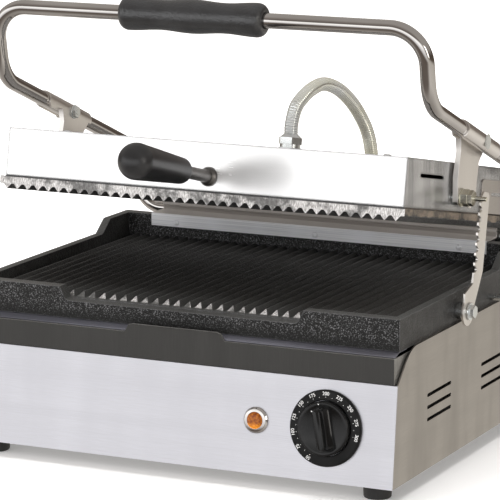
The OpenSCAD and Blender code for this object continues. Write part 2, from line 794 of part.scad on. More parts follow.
// ---------------------------------------------------------------- arms and handle

// The tube's line: hinge end, rear corner, arm, riser, handle bar, and back down the other side
module tube_run(r, past) {
    half = [
        [axle_in - past, hinge_y, hinge_z], [arm_x, hinge_y, hinge_z], [arm_x, rear_corner[0], rear_corner[1]],
        [arm_x, front_corner[0], front_corner[1]], [arm_x, handle_at[0], handle_at[1]]
    ];
    bends = [hinge_bend, arm_bend - 10, arm_bend, handle_bend];
    bent_bar(
        concat(half, [for (i = [4 : -1 : 0]) [-half[i][0], half[i][1], half[i][2]]]),
        concat(bends, [for (i = [3 : -1 : 0]) bends[i]]),
        r
    );
}

// One bent tube for both arms and the handle
module handle_tube() {
    color("silver") difference() {
        tube_run(tube_d / 2, 0);
        tube_run(tube_d / 2 - tube_wall, eps);
    }
}

// Radius of the handle's grip, t from 0 to 1 along it: four finger waves between two bulges
function grip_radius(t) = grip_d / 2 - 1.1 - 1.1 * cos(t * 360 * 5);

module handle_grip() {
    n = 50;
    cap = 7;
    body = [for (i = [0 : n]) let (t = i / n) [grip_radius(t), cap + t * (grip_len - 2 * cap)]];
    color("black") translate([grip_x - grip_len / 2, handle_at[0], handle_at[1]]) rotate([0, 90, 0])
        rotate_extrude() polygon(concat(
            [[tube_d / 2 + seat, grip_len], [tube_d / 2 + seat, 0], [grip_d / 2 - 5, 0], [grip_d / 2 - 3.2, cap * 0.3]],
            body,
            [[grip_d / 2 - 3.2, grip_len - cap * 0.3], [grip_d / 2 - 5, grip_len]]
        ));
}

// Saddle section, seen along the tube: over the tube, down outside it, and down inside it to the leg
module saddle_section(drop) {
    outer = tube_d / 2 + seat + bracket_t + swell;
    inner = tube_d / 2 + seat - swell;
    polygon(concat(
        [[outer, drop]], arc([0, 0], outer, 0, -180, 24), [[-outer, drop], [-inner, drop]],
        arc([0, 0], inner, -180, 0, 24), [[inner, drop]]
    ));
}

// Folded bracket: a saddle bolted round the arm and a leg that carries the upper housing
module arm_bracket() {
    leg_front = pivot_y - 7.5;
    saddle_at = pivot_along + 15.3;
    under_arm = rear_corner[1] + (hinge_y - pivot_y) * tan(arm_slope) - 2.9;
    color("silver") difference() {
        union() {
            translate([arm_x, 0, 0]) on_arm() translate([0, saddle_at - saddle_len, 0]) rotate([-90, 0, 0])
                mirror([0, 1, 0]) linear_extrude(saddle_len) saddle_section(tube_d / 2 + 3);
            along_x(bracket_x, bracket_x + bracket_t) polygon([
                [leg_front, pivot_z - 3], [leg_front, pivot_z + 18], [pivot_y - 1, pivot_z + 40],
                [pivot_y - 2, under_arm + 2 * tan(arm_slope)], [pivot_y + 50, under_arm - 50 * tan(arm_slope)], [pivot_y + 45, pivot_z + 8],
                [pivot_y + 40, pivot_z - 12], [pivot_y + 21, pivot_z - 13]
            ]);
        }
        at_pivot() rod_x(bracket_x - eps, bracket_x + bracket_t + eps, pivot_bolt_r);
        bracket_holes();
    }
}

// Where the two bolts pass through saddle and tube
module at_bracket_bolt() {
    translate([arm_x, 0, 0]) on_arm() translate([0, pivot_along - 31.7, 0]) children();
}

module bracket_holes() {
    at_bracket_bolt() rod_x(-20, 20, 2.5);
}

module arm_bracket_right() { arm_bracket(); }
module arm_bracket_left() { mirror([1, 0, 0]) arm_bracket(); }

module bracket_bolts() {
    out = tube_d / 2 + seat + bracket_t + swell;
    color("silver") both_sides() at_bracket_bolt() {
        hex_x(out, out + 0.3, 10);
        hex_x(-out - 4, -out, 8);
    }
}

// Pivot bolt: head inside the housing, shank through spacer and bracket, thin pin at its end
module pivot_bolt() {
    color("silver") at_pivot() {
        rod_x(top_half - sheet - 5, top_half - sheet - 0.2, 6.5);
        rod_x(top_half - sheet - 0.2, bracket_x + bracket_t + washer_t + nut_h + lock_nut_h, pivot_bolt_r);
        rod_x(bracket_x + bracket_t + washer_t + nut_h + lock_nut_h, pin_end, pin_r);
    }
}

module pivot_bolt_right() { pivot_bolt(); }
module pivot_bolt_left() { mirror([1, 0, 0]) pivot_bolt(); }

module pivot_spacers() {
    color("silver") both_sides() at_pivot() difference() {
        rod_x(top_half + 0.2, bracket_x, 7);
        rod_x(top_half, bracket_x + eps, pivot_bolt_r);
    }
}

module pivot_nuts() {
    x0 = bracket_x + bracket_t;
    color("khaki") both_sides() at_pivot() difference() {
        union() {
            rod_x(x0, x0 + washer_t, 8);
            hex_x(x0 + washer_t, x0 + washer_t + nut_h, nut_af);
            hex_x(x0 + washer_t + nut_h, x0 + washer_t + nut_h + lock_nut_h - 0.4, nut_af - 1);
        }
        rod_x(x0 - eps, x0 + 20, pivot_bolt_r);
    }
}

// ---------------------------------------------------------------- upper housing

// Open-bottomed, open-backed shell of polished sheet
module upper_casing() {
    color("whitesmoke") on_top() difference() {
        block(-top_half, top_half, 0, top_d, 0, top_h);
        block(-top_half + sheet, top_half - sheet, sheet, top_d + eps, -eps, top_h - sheet);
        both_sides() translate([0, pivot_back, pivot_up]) rod_x(top_half - 2 * sheet, top_half + sheet, pivot_bolt_r + seat);
        both_sides() for (s = top_slots) translate([top_half - 2 * sheet, s[0], top_slot_z]) rotate([90, 0, 90]) slot(s[1], vent_w, 3 * sheet);
        translate([hose_root[0], hose_root[1], top_h - 2 * sheet]) cylinder(r = hose_r + 1, h = 4 * sheet);
        for (x = [-top_post_x, top_post_x], y = top_post_y) translate([x, y, top_h - 2 * sheet]) cylinder(r = 2, h = 4 * sheet);
        translate([rod_x, -sheet, rod_up]) rotate([-90, 0, 0]) cylinder(r = 4, h = 4 * sheet);
    }
}

// Rear closing sheet, lapped round the sides of the shell
module upper_rear_cover() {
    lap = 72;
    lap_h = 29.3;
    round_r = 4;
    color("silver") on_top() {
        along_y(top_d, top_d + sheet) translate([-top_half - sheet, 0]) square([top_w + 2 * sheet, top_h]);
        both_sides() difference() {
            along_x(top_half, top_half + sheet) polygon(concat(
                [[top_d, 0], [top_d, lap_h]],
                arc([top_d - lap + round_r, lap_h - round_r], round_r, 90, 180),
                [[top_d - lap, 0]]
            ));
            translate([top_half - eps, top_slots[1][0], top_slot_z - 10]) rotate([90, 0, 90]) slot(top_slots[1][1], vent_w, 3 * sheet);
        }
    }
}

module casing_screws() {
    color("silver") on_top() for (x = [-top_post_x, top_post_x], y = top_post_y) translate([x, y, top_h - sheet]) {
        cylinder(r = 2, h = sheet);
        translate([0, 0, sheet]) cylinder(r1 = 4, r2 = 3, h = 1.8);
    }
}

// Ribbed casting that hangs under the housing
module upper_plate() {
    y0 = -plate_nose;
    y1 = top_d - 2;
    color("darkslategray") on_top() {
        along_y(y0, y1) polygon(concat(
            [[-upper_half, -plate_ledge - upper_slab]],
            rib_edge(upper_half - 1, -plate_ledge - upper_slab, -upper_rib_h),
            [[upper_half, -plate_ledge - upper_slab], [upper_half, -plate_ledge], [-upper_half, -plate_ledge]]
        ));
        block(-top_half, top_half, 0, y1, -plate_ledge, 0);
    }
}

// Pillars that tie the plate to the top of the shell
module plate_posts() {
    color("silver") on_top() for (x = [-top_post_x, top_post_x], y = top_post_y)
        translate([x, y, 0]) cylinder(r = 5, h = top_h - sheet);
}

module upper_heating_element() {
    z = element_d / 2;
    back = top_d - 44;
    front = 30;
    mid = back - 55;
    side = top_half - 54.4;
    loop = side - 85;
    color("slategray") on_top() bent_bar(
        [
            [-20, back, z + 26], [-20, back, z], [-side, back, z], [-side, front, z], [-loop, front, z],
            [-loop, mid, z], [loop, mid, z], [loop, front, z], [side, front, z], [side, back, z],
            [20, back, z], [20, back, z + 26]
        ],
        [for (i = [0 : 9]) element_bend], element_d / 2
    );
}

module upper_element_clamp() {
    y = top_d / 2 - 25;
    half = top_half - 44.4;
    color("silver") on_top() {
        block(-half, half, y - 12, y + 12, element_d, element_d + 2);
        for (x = [50 - half, half - 50]) translate([x, y, 0]) cylinder(r = 5, h = element_d);
        for (x = [50 - half, half - 50]) translate([x, y, element_d + 2]) cylinder(d = 10, h = 4, $fn = 6);
    }
}

// Frame of the front rod: local Z runs forwards along it
module on_rod() {
    on_top() translate([rod_x, 0, rod_up]) rotate([90 - rod_rise, 0, 0]) children();
}

module front_rod() {
    color("gray") {
        on_rod() translate([0, 0, 0.6]) {
            cylinder(d = rod_d, h = rod_len + 19.4);
            cylinder(r1 = rod_d / 2 + 2.6, r2 = rod_d / 2, h = 3);
        }
        on_top() translate([rod_x, -1.2, rod_up]) rotate([-90, 0, 0]) cylinder(r = rod_d / 2 + 3, h = 1.2);
        on_top() translate([rod_x, -0.5, rod_up]) rotate([-90, 0, 0]) cylinder(r = 4, h = 12);
        on_top() translate([rod_x, sheet, rod_up]) rotate([-90, 0, 0]) cylinder(d = 14, h = 6, $fn = 6);
    }
}

// Black grip: rounded root, tapered body, ball at the end
module front_grip() {
    root_r = 11;
    ball_z = rod_len + ball_reach;
    lean = asin((ball_r - root_r) / ball_reach);
    color("black") on_rod() difference() {
        rotate_extrude() polygon(concat(
            [[0, rod_len]],
            arc([root_r - 6, rod_len + 6], 6, -90, 0),
            [for (p = arc([0, ball_z], ball_r, -lean, 90, 16)) p]
        ));
        translate([0, 0, rod_len - eps]) cylinder(d = rod_d, h = 20 + eps);
    }
}

// ---------------------------------------------------------------- support bar

// Centre of notch k in the bar's own frame, the last one being the highest
function notch_at(k) = let (down = (notches - 1 - k) * notch_pitch)
    [notch_line + notch_skew * down / ((notches - 1) * notch_pitch), bar_reach - down];

// Front edge of the bar: teeth between round-bottomed notches
function tooth_edge() = [
    for (k = [0 : notches - 1]) let (c = notch_at(k)) each concat(
        [[c[0] - tooth_out, c[1] - notch_w / 2 - 0.5]],
        arc(c, notch_w / 2, -90, 90, 6),
        [[c[0] - tooth_out, c[1] + notch_w / 2 + 0.5]]
    )
];

// Flat bar with an offset eye and a toothed front edge
module support_bar() {
    low = notch_at(0);
    high = notch_at(notches - 1);
    back = high[0] + bar_w;
    top = high[1] + notch_w / 2 + 5;
    color("silver") on_bar() difference() {
        along_x(bar_x, bar_x + bar_t) polygon(concat(
            arc([-2, 0], eye_r, 150, 380, 20),
            [[back - 2, low[1] - 14], [back + notch_skew, low[1]], [back, top - 3], [back - 3, top]],
            [[high[0] + 4, top]],
            [for (i = [len(tooth_edge()) - 2 : -1 : 0]) tooth_edge()[i]],
            [[low[0] - tooth_out, low[1] - 12], [-eye_r - 1.5, low[1] - 22]]
        ));
        rod_x(bar_x - eps, bar_x + bar_t + eps, pivot_bolt_r + seat);
    }
}

module bar_bolt() {
    color("silver") translate([0, bar_eye[0], bar_eye[1]]) {
        rod_x(lower_w / 2 - 6, bar_x + bar_t + 0.2, pivot_bolt_r);
        rod_x(bar_x + bar_t + 0.2, bar_x + bar_t + 1.6, 7.5);
        hex_x(bar_x + bar_t + 1.6, bar_x + bar_t + 5.5, 10);
    }
}

module bar_spacer() {
    color("silver") translate([0, bar_eye[0], bar_eye[1]]) difference() {
        rod_x(lower_w / 2, bar_x - 0.2, 7);
        rod_x(lower_w / 2 - eps, bar_x + eps, pivot_bolt_r);
    }
}

// Stop that the bar lies back on when it isn't in use
module bar_rest_pin() {
    color("silver") translate([0, rest_pin_y, rest_pin_z]) rod_x(lower_w / 2 - 6, bar_x + bar_t + 3, pivot_bolt_r - 1);
}

// ---------------------------------------------------------------- assembly

module place() {
    translate([0, y_shift, 0]) children();
}

place() {
    front_panel();
    side_panel_left();
    side_panel_right();
    rear_panel();
    bottom_plate();
    foot_front_left();
    foot_front_right();
    foot_rear_left();
    foot_rear_right();
    foot_screws();
    lower_plate();
    lower_heating_element();
    lower_element_clamp();
    grease_tray();
    dial_ring();
    control_knob();
    thermostat_body();
    lamp_bezel();
    lamp_lens();
    lamp_body();
    terminal_block();
    inlet_gland();
    conduit_gland_base();
    conduit_hose();
    conduit_gland_top();
    hinge_block_left();
    hinge_block_right();
    hinge_cover();
    hinge_collars();
    cover_screws();
    handle_tube();
    handle_grip();
    arm_bracket_left();
    arm_bracket_right();
    bracket_bolts();
    pivot_bolt_left();
    pivot_bolt_right();
    pivot_spacers();
    pivot_nuts();
    upper_casing();
    upper_rear_cover();
    casing_screws();
    upper_plate();
    plate_posts();
    upper_heating_element();
    upper_element_clamp();
    front_rod();
    front_grip();
    support_bar();
    bar_bolt();
    bar_spacer();
    bar_rest_pin();
}
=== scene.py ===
"""Dresses the panini press: a contact grill with ribbed cast plates on a bent tube handle.

Every sub-assembly is a class that holds its sizes and builds its own pieces, and every
finish is a small frozen class that makes its material. Lengths are in metres, except
where a comment or a docstring says mm.
"""

import json
import logging
import math
from dataclasses import dataclass
from enum import Enum
from typing import Any, Iterable, Sequence

import bmesh
import bpy
from mathutils import Matrix, Vector

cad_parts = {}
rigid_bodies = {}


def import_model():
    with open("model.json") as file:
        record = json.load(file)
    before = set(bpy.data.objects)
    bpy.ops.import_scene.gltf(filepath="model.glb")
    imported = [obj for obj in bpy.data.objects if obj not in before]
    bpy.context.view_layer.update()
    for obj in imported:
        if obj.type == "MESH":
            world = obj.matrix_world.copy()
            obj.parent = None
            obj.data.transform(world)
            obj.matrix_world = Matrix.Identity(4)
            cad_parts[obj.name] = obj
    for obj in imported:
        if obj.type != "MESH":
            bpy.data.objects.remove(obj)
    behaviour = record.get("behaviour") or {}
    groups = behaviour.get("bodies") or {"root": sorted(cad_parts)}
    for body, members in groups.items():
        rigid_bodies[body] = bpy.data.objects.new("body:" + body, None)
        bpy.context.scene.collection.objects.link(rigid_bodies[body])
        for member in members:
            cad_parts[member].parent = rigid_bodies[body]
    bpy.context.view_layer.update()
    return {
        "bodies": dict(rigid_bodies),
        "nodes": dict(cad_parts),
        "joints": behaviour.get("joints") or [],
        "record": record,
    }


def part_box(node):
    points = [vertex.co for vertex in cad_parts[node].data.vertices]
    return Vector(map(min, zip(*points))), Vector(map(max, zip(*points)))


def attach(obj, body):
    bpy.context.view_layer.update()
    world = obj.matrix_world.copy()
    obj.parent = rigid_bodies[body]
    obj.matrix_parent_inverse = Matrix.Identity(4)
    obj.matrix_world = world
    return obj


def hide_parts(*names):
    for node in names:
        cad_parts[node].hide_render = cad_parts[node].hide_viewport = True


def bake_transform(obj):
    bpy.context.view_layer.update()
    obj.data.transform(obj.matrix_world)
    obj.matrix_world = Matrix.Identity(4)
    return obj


LOG = logging.getLogger("panini_press")
MM = 0.001
FAR = 9.0  # farther off than any point of the press
TILT = math.radians(11.0)  # how far the upper housing leans at rest
BORDER = 0.0003  # how wide the border between two looks of one surface is

# Widths of rounded edges, from small turned parts to the large casting.
FINE_EDGE = 0.0003
SHEET_EDGE = 0.0004
TURNED_EDGE = 0.0005
PANEL_EDGE = 0.0007
BLOCK_EDGE = 0.0008
SHELL_EDGE = 0.0009
CAST_EDGE = 0.0012

# Folds in degrees: what stays crisp when shaded, what gets rounded, and what is flat in a CAD node.
CRISP = 40.0
CRISP_SHEET = 32.0
CRISP_SMALL = 30.0
ROUNDED = 35.0
FLAT = 0.5

# Distances below which two vertices are one: in a CAD node, in a piece made here, and round an axis.
NODE_GAP = 2e-6
OWN_GAP = 1e-7
AXIS_GAP = 1e-9

# The values between which most of a noise lies, and most of the sum of two.
MOST = (0.3, 0.7)
MOST_OF_TWO = (0.6, 1.4)

Triple = tuple[float, float, float]
Colour = Triple
Socket = bpy.types.NodeSocket
Stops = tuple[tuple[float, Colour], ...]


class Body(Enum):
    """The moving bodies of the press."""

    BASE = "base"
    ARMS = "arm_frame"
    HEAD = "upper_head"
    BAR = "support_bar_body"
    DRAWER = "drawer"
    KNOB = "knob"


class Axis(Enum):
    """One of the three directions, as its number among a node's outputs."""

    X = 0
    Y = 1
    Z = 2


# ---------------------------------------------------------------- node trees


class Wiring:
    """A node tree under construction: adds nodes and joins them."""

    def __init__(self, tree: bpy.types.NodeTree) -> None:
        """Starts on a tree, which is emptied.

        Args:
            tree: the node tree that grows.
        """
        self.tree = tree
        self.tree.nodes.clear()

    def node(self, kind: str, inputs: dict[Any, Any] | None = None, **settings: Any) -> bpy.types.Node:
        """Adds one node.

        Args:
            kind: the node's type, a shader node's without its ShaderNode prefix.
            inputs: values or output sockets for its inputs, by name or number.
            settings: properties of the node itself.

        Returns:
            The new node.
        """
        made = self.tree.nodes.new(kind if "Node" in kind else "ShaderNode" + kind)
        for key, value in settings.items():
            setattr(made, key, value)
        for key, value in (inputs or {}).items():
            self.feed(made.inputs[key], value)
        return made

    def feed(self, socket: Socket, value: Any) -> None:
        """Sets an input to a value, or joins it to an output socket.

        Args:
            socket: the input.
            value: a plain value or an output socket.
        """
        if isinstance(value, Socket):
            self.tree.links.new(value, socket)
        else:
            socket.default_value = value

    def maths(self, operation: str, first: Any, second: Any = 0.0) -> Socket:
        """Gives the result of one operation on two numbers."""
        return self.node("Math", {0: first, 1: second}, operation=operation).outputs[0]

    def range(self, value: Any, low: float, high: float, to_low: float = 0.0, to_high: float = 1.0) -> Socket:
        """Gives value moved from one range to another, and held inside it."""
        sockets = {"Value": value, "From Min": low, "From Max": high, "To Min": to_low, "To Max": to_high}
        return self.node("MapRange", sockets).outputs[0]

    def blend(self, share: Any, first: Any, second: Any) -> Socket:
        """Gives a colour between two colours.

        Args:
            share: how much of the second it has, from 0 to 1.
            first: a colour or an output socket.
            second: a colour or an output socket.

        Returns:
            The colour as an output socket.
        """
        made = self.node("Mix", {"Factor": share}, data_type="RGBA")
        for key, value in (("A", first), ("B", second)):
            self.feed(made.inputs[key], value if isinstance(value, Socket) else (*value, 1.0))
        return made.outputs["Result"]


def shaded(colour: Colour, share: float) -> Colour:
    """Gives a colour times a number."""
    return tuple(c * share for c in colour)


# ---------------------------------------------------------------- finishes


class Shader(Wiring):
    """A material under construction, with the patterns that the finishes share."""

    def __init__(self, name: str) -> None:
        """Starts a material with a Principled shader.

        Args:
            name: the material's name.
        """
        self.material = bpy.data.materials.new(name)
        self.material.use_nodes = True
        super().__init__(self.material.node_tree)
        self.skin = self.node("BsdfPrincipled")
        self.node("OutputMaterial", {0: self.skin.outputs[0]})

    def place(self) -> Socket:
        """Gives the position on the object as an output socket."""
        return self.node("TexCoord").outputs["Object"]

    def at(self, axis: Axis) -> Socket:
        """Gives one coordinate of the position on the object."""
        return self.node("SeparateXYZ", {0: self.place()}).outputs[axis.value]

    def looks(self, axis: Axis) -> Socket:
        """Gives how squarely the surface looks along an axis, from -1 to 1."""
        return self.node("SeparateXYZ", {0: self.node("TexCoord").outputs["Normal"]}).outputs[axis.value]

    def dot(self, first: Any, second: Any) -> Socket:
        """Gives the dot product of two directions or places."""
        return self.node("VectorMath", {0: first, 1: second}, operation="DOT_PRODUCT").outputs["Value"]

    def product(self, first: Any, *others: Any) -> Socket:
        """Multiplies some numbers.

        Args:
            first: a number or an output socket.
            others: more of them.

        Returns:
            The product as an output socket.
        """
        for other in others:
            first = self.maths("MULTIPLY", first, other)
        return first

    def weighted(self, *parts: tuple[Any, float]) -> Socket:
        """Adds some values up, each one times its weight.

        Args:
            parts: pairs of a value and its weight.

        Returns:
            The sum as an output socket.
        """
        total = self.maths("MULTIPLY", *parts[0])
        for value, weight in parts[1:]:
            total = self.maths("ADD", total, self.maths("MULTIPLY", value, weight))
        return total

    def stretched(self, scale: Sequence[float], lean: float = 0.0) -> Socket:
        """Gives the position on the object, leant round X by an angle and scaled along each axis."""
        sockets = {"Vector": self.place(), "Rotation": (lean, 0.0, 0.0), "Scale": tuple(scale)}
        return self.node("Mapping", sockets).outputs[0]

    def noise(self, scale: float, detail: float = 2.0, vector: Any = None, rough: float = 0.5) -> Socket:
        """Gives a noise value.

        Args:
            scale: waves per metre.
            detail: how many finer layers it has.
            vector: where it is read, the position on the object by default.
            rough: the strength of the finer layers.

        Returns:
            The noise as an output socket from 0 to 1.
        """
        at = self.place() if vector is None else vector
        return self.node("TexNoise", {"Vector": at, "Scale": scale, "Detail": detail, "Roughness": rough}).outputs[0]

    def cells(self, scale: float) -> Socket:
        """Gives the distance to the middle of the nearest cell, with scale cells per metre."""
        return self.node("TexVoronoi", {"Vector": self.place(), "Scale": scale}, feature="F1").outputs["Distance"]

    def edges(self, radius: float) -> Socket:
        """Gives 1 on sharp edges and 0 on open faces.

        Args:
            radius: how wide the edges are.

        Returns:
            The mask as an output socket.
        """
        soft = self.node("Bevel", {"Radius": radius}, samples=6).outputs[0]
        hard = self.node("NewGeometry").outputs["Normal"]
        return self.range(self.dot(soft, hard), 0.99, 0.90)

    def bump(self, height: Any, strength: float, depth: float) -> None:
        """Presses a height pattern into the surface."""
        made = self.node("Bump", {"Height": height, "Strength": strength, "Distance": depth})
        self.feed(self.skin.inputs["Normal"], made.outputs[0])

    def set(self, **values: Any) -> None:
        """Sets or joins inputs of the shader.

        Args:
            values: values or output sockets, by the input's name with _ for a space.
        """
        for key, value in values.items():
            if key.endswith("_Color") and not isinstance(value, Socket):
                value = (*value, 1.0)
            self.feed(self.skin.inputs[key.replace("_", " ")], value)


class Finish:
    """A surface finish that makes its material once."""

    made: dict["Finish", bpy.types.Material] = {}

    def material(self) -> bpy.types.Material:
        """Gives the finish's material, made at the first call."""
        if self not in Finish.made:
            Finish.made[self] = self.make()
        return Finish.made[self]

    def make(self) -> bpy.types.Material:
        """Makes the material."""
        raise NotImplementedError


@dataclass(frozen=True)
class BrushedSteel(Finish):
    """Sheet steel with a fine grain in one direction, faint smudges and a soft sheen."""

    name: str
    tint: Colour
    grain: Axis = Axis.X
    rough: float = 0.32
    contrast: float = 0.12  # how much darker the dark streaks are
    metal: float = 1.0
    smudge: float = 0.08  # how much darker a wiped smudge is
    length: float = 0.02  # of one streak
    slant: float = 0.0  # how far the smudges lean
    painted_side_light: float = 1.0  # painted light: how bright the sides and the top are, next to the front
    painted_shade_from: float = FAR  # the distance to the back where the second tone, a painted shade, starts
    # the tone of the painted shade towards the back
    second: Colour = (0.5, 0.5, 0.5)
    painted_fold_shade: float = 0.0  # painted shade: how wide the dark folded edges are
    streaks: float = 1300.0  # in a metre, across the grain
    bands: tuple[float, float] = (60.0, 1.5)  # in a metre, across the grain and along it
    smudges: Triple = (30.0, 30.0, 7.0)  # in a metre, along each axis
    square: tuple[float, float] = (0.55, 0.7)  # from where a face counts as a side or a top

    def make(self) -> bpy.types.Material:
        """Makes the material from short streaks, slow bands along them and faint wiped smudges."""
        s = Shader(self.name)
        streak = s.noise(1.0, 3.0, s.stretched(self.lengthways(self.streaks, 1.0 / self.length)), rough=0.6)
        band = s.noise(1.0, 2.0, s.stretched(self.lengthways(*self.bands)))
        patch = s.noise(1.0, 3.0, s.stretched(self.smudges, self.slant))
        grain = s.weighted((streak, 0.65), (band, 0.35))
        share = s.range(grain, 0.36, 0.64)
        dark = shaded(self.tint, 1 - self.contrast)
        light = tuple(min(1.0, c) for c in shaded(self.tint, 1 + self.contrast * 0.5))
        tone = s.blend(share, dark, light)
        tone = s.blend(s.range(patch, 0.45, 0.75, 0.0, 0.8), tone, shaded(self.tint, 1 - self.smudge))
        # Painted light: faces that look to the sides or up get the tint scaled by the painted side light.
        if self.painted_side_light != 1.0:
            tone = s.blend(self.painted_side_light_mask(s), tone, self.grain_and_painted_side_light(s, grain))
        # Painted shade: towards the back the sheet takes the darker second tone.
        if self.painted_shade_from < FAR:
            rear = s.range(s.at(Axis.Y), self.painted_shade_from, self.painted_shade_from + BORDER)
            tone = s.blend(rear, tone, s.blend(share, shaded(self.second, 0.75), self.second))
        # Painted shade: dark lines along the folded edges.
        if self.painted_fold_shade:
            tone = s.blend(s.edges(self.painted_fold_shade), tone, shaded(self.tint, 0.24))
        base = s.range(streak, *MOST, self.rough * 0.9, self.rough * 1.1)
        rough = s.maths("ADD", base, s.range(patch, *MOST, -0.02, 0.03))
        s.set(Base_Color=tone, Metallic=self.metal, Roughness=rough)
        s.bump(streak, 0.05, 0.0001)
        return s.material

    def lengthways(self, across: float, along: float) -> list[float]:
        """Gives a pattern's scale on each axis from its scales across the grain and along it."""
        return [along if axis is self.grain else across for axis in Axis]

    def painted_side_light_mask(self, s: Shader) -> Socket:
        """Gives 1 where the surface looks to the left, to the right or up, where the painted side light goes."""
        return s.range(s.maths("MAXIMUM", s.maths("ABSOLUTE", s.looks(Axis.X)), s.looks(Axis.Z)), *self.square)

    def grain_and_painted_side_light(self, s: Shader, grain: Socket) -> Socket:
        """Makes the painted light of the sides and the top: the tint scaled by the painted side light, brushed from
        top to bottom on a side and even on the top.

        Args:
            s: the material under construction.
            grain: the grain of the front, which the top keeps.

        Returns:
            The tone as an output socket.
        """
        fine = s.noise(1.0, 2.0, s.stretched((900.0, 900.0, 25.0)), rough=0.6)
        slow = s.noise(1.0, 2.0, s.stretched((30.0, 42.0, 3.0)))
        across = s.noise(1.0, 2.0, s.stretched((40.0, 10.0, 90.0)))
        wave = s.weighted((fine, 0.3), (slow, 0.5), (across, 0.2))
        top = s.range(s.looks(Axis.Z), *self.square)
        even = s.maths("ADD", s.product(grain, 0.35), 0.37)
        wave = s.maths("ADD", wave, s.product(top, s.maths("SUBTRACT", even, wave)))
        dark, light = shaded(self.tint, self.painted_side_light * 0.55), shaded(self.tint, self.painted_side_light * 1.25)
        return s.blend(s.range(wave, 0.38, 0.62), dark, light)


@dataclass(frozen=True)
class PolishedMetal(Finish):
    """Plated or polished metal whose reflections waver a little."""

    name: str
    tint: Colour
    second: Colour
    rough: float = 0.08
    waver: float = 0.05  # how strongly the reflections waver
    speck: float = 0.0  # how much duller the dull places are
    metal: float = 1.0
    waves: float = 22.0  # in a metre
    scratches: float = 900.0  # in a metre

    def make(self) -> bpy.types.Material:
        """Makes the material from slow waves and a trace of fine scratches."""
        s = Shader(self.name)
        slow = s.noise(self.waves, 2.0)
        fine = s.noise(self.scratches, 3.0)
        s.set(Base_Color=s.blend(s.range(slow, 0.35, 0.65), self.tint, self.second), Metallic=self.metal)
        dull = s.range(s.maths("ADD", fine, slow), *MOST_OF_TWO, self.rough * 0.7, self.rough * 1.5 + self.speck)
        s.set(Roughness=dull)
        s.bump(s.weighted((slow, 1.0), (fine, 0.12)), self.waver, 0.0006)
        return s.material


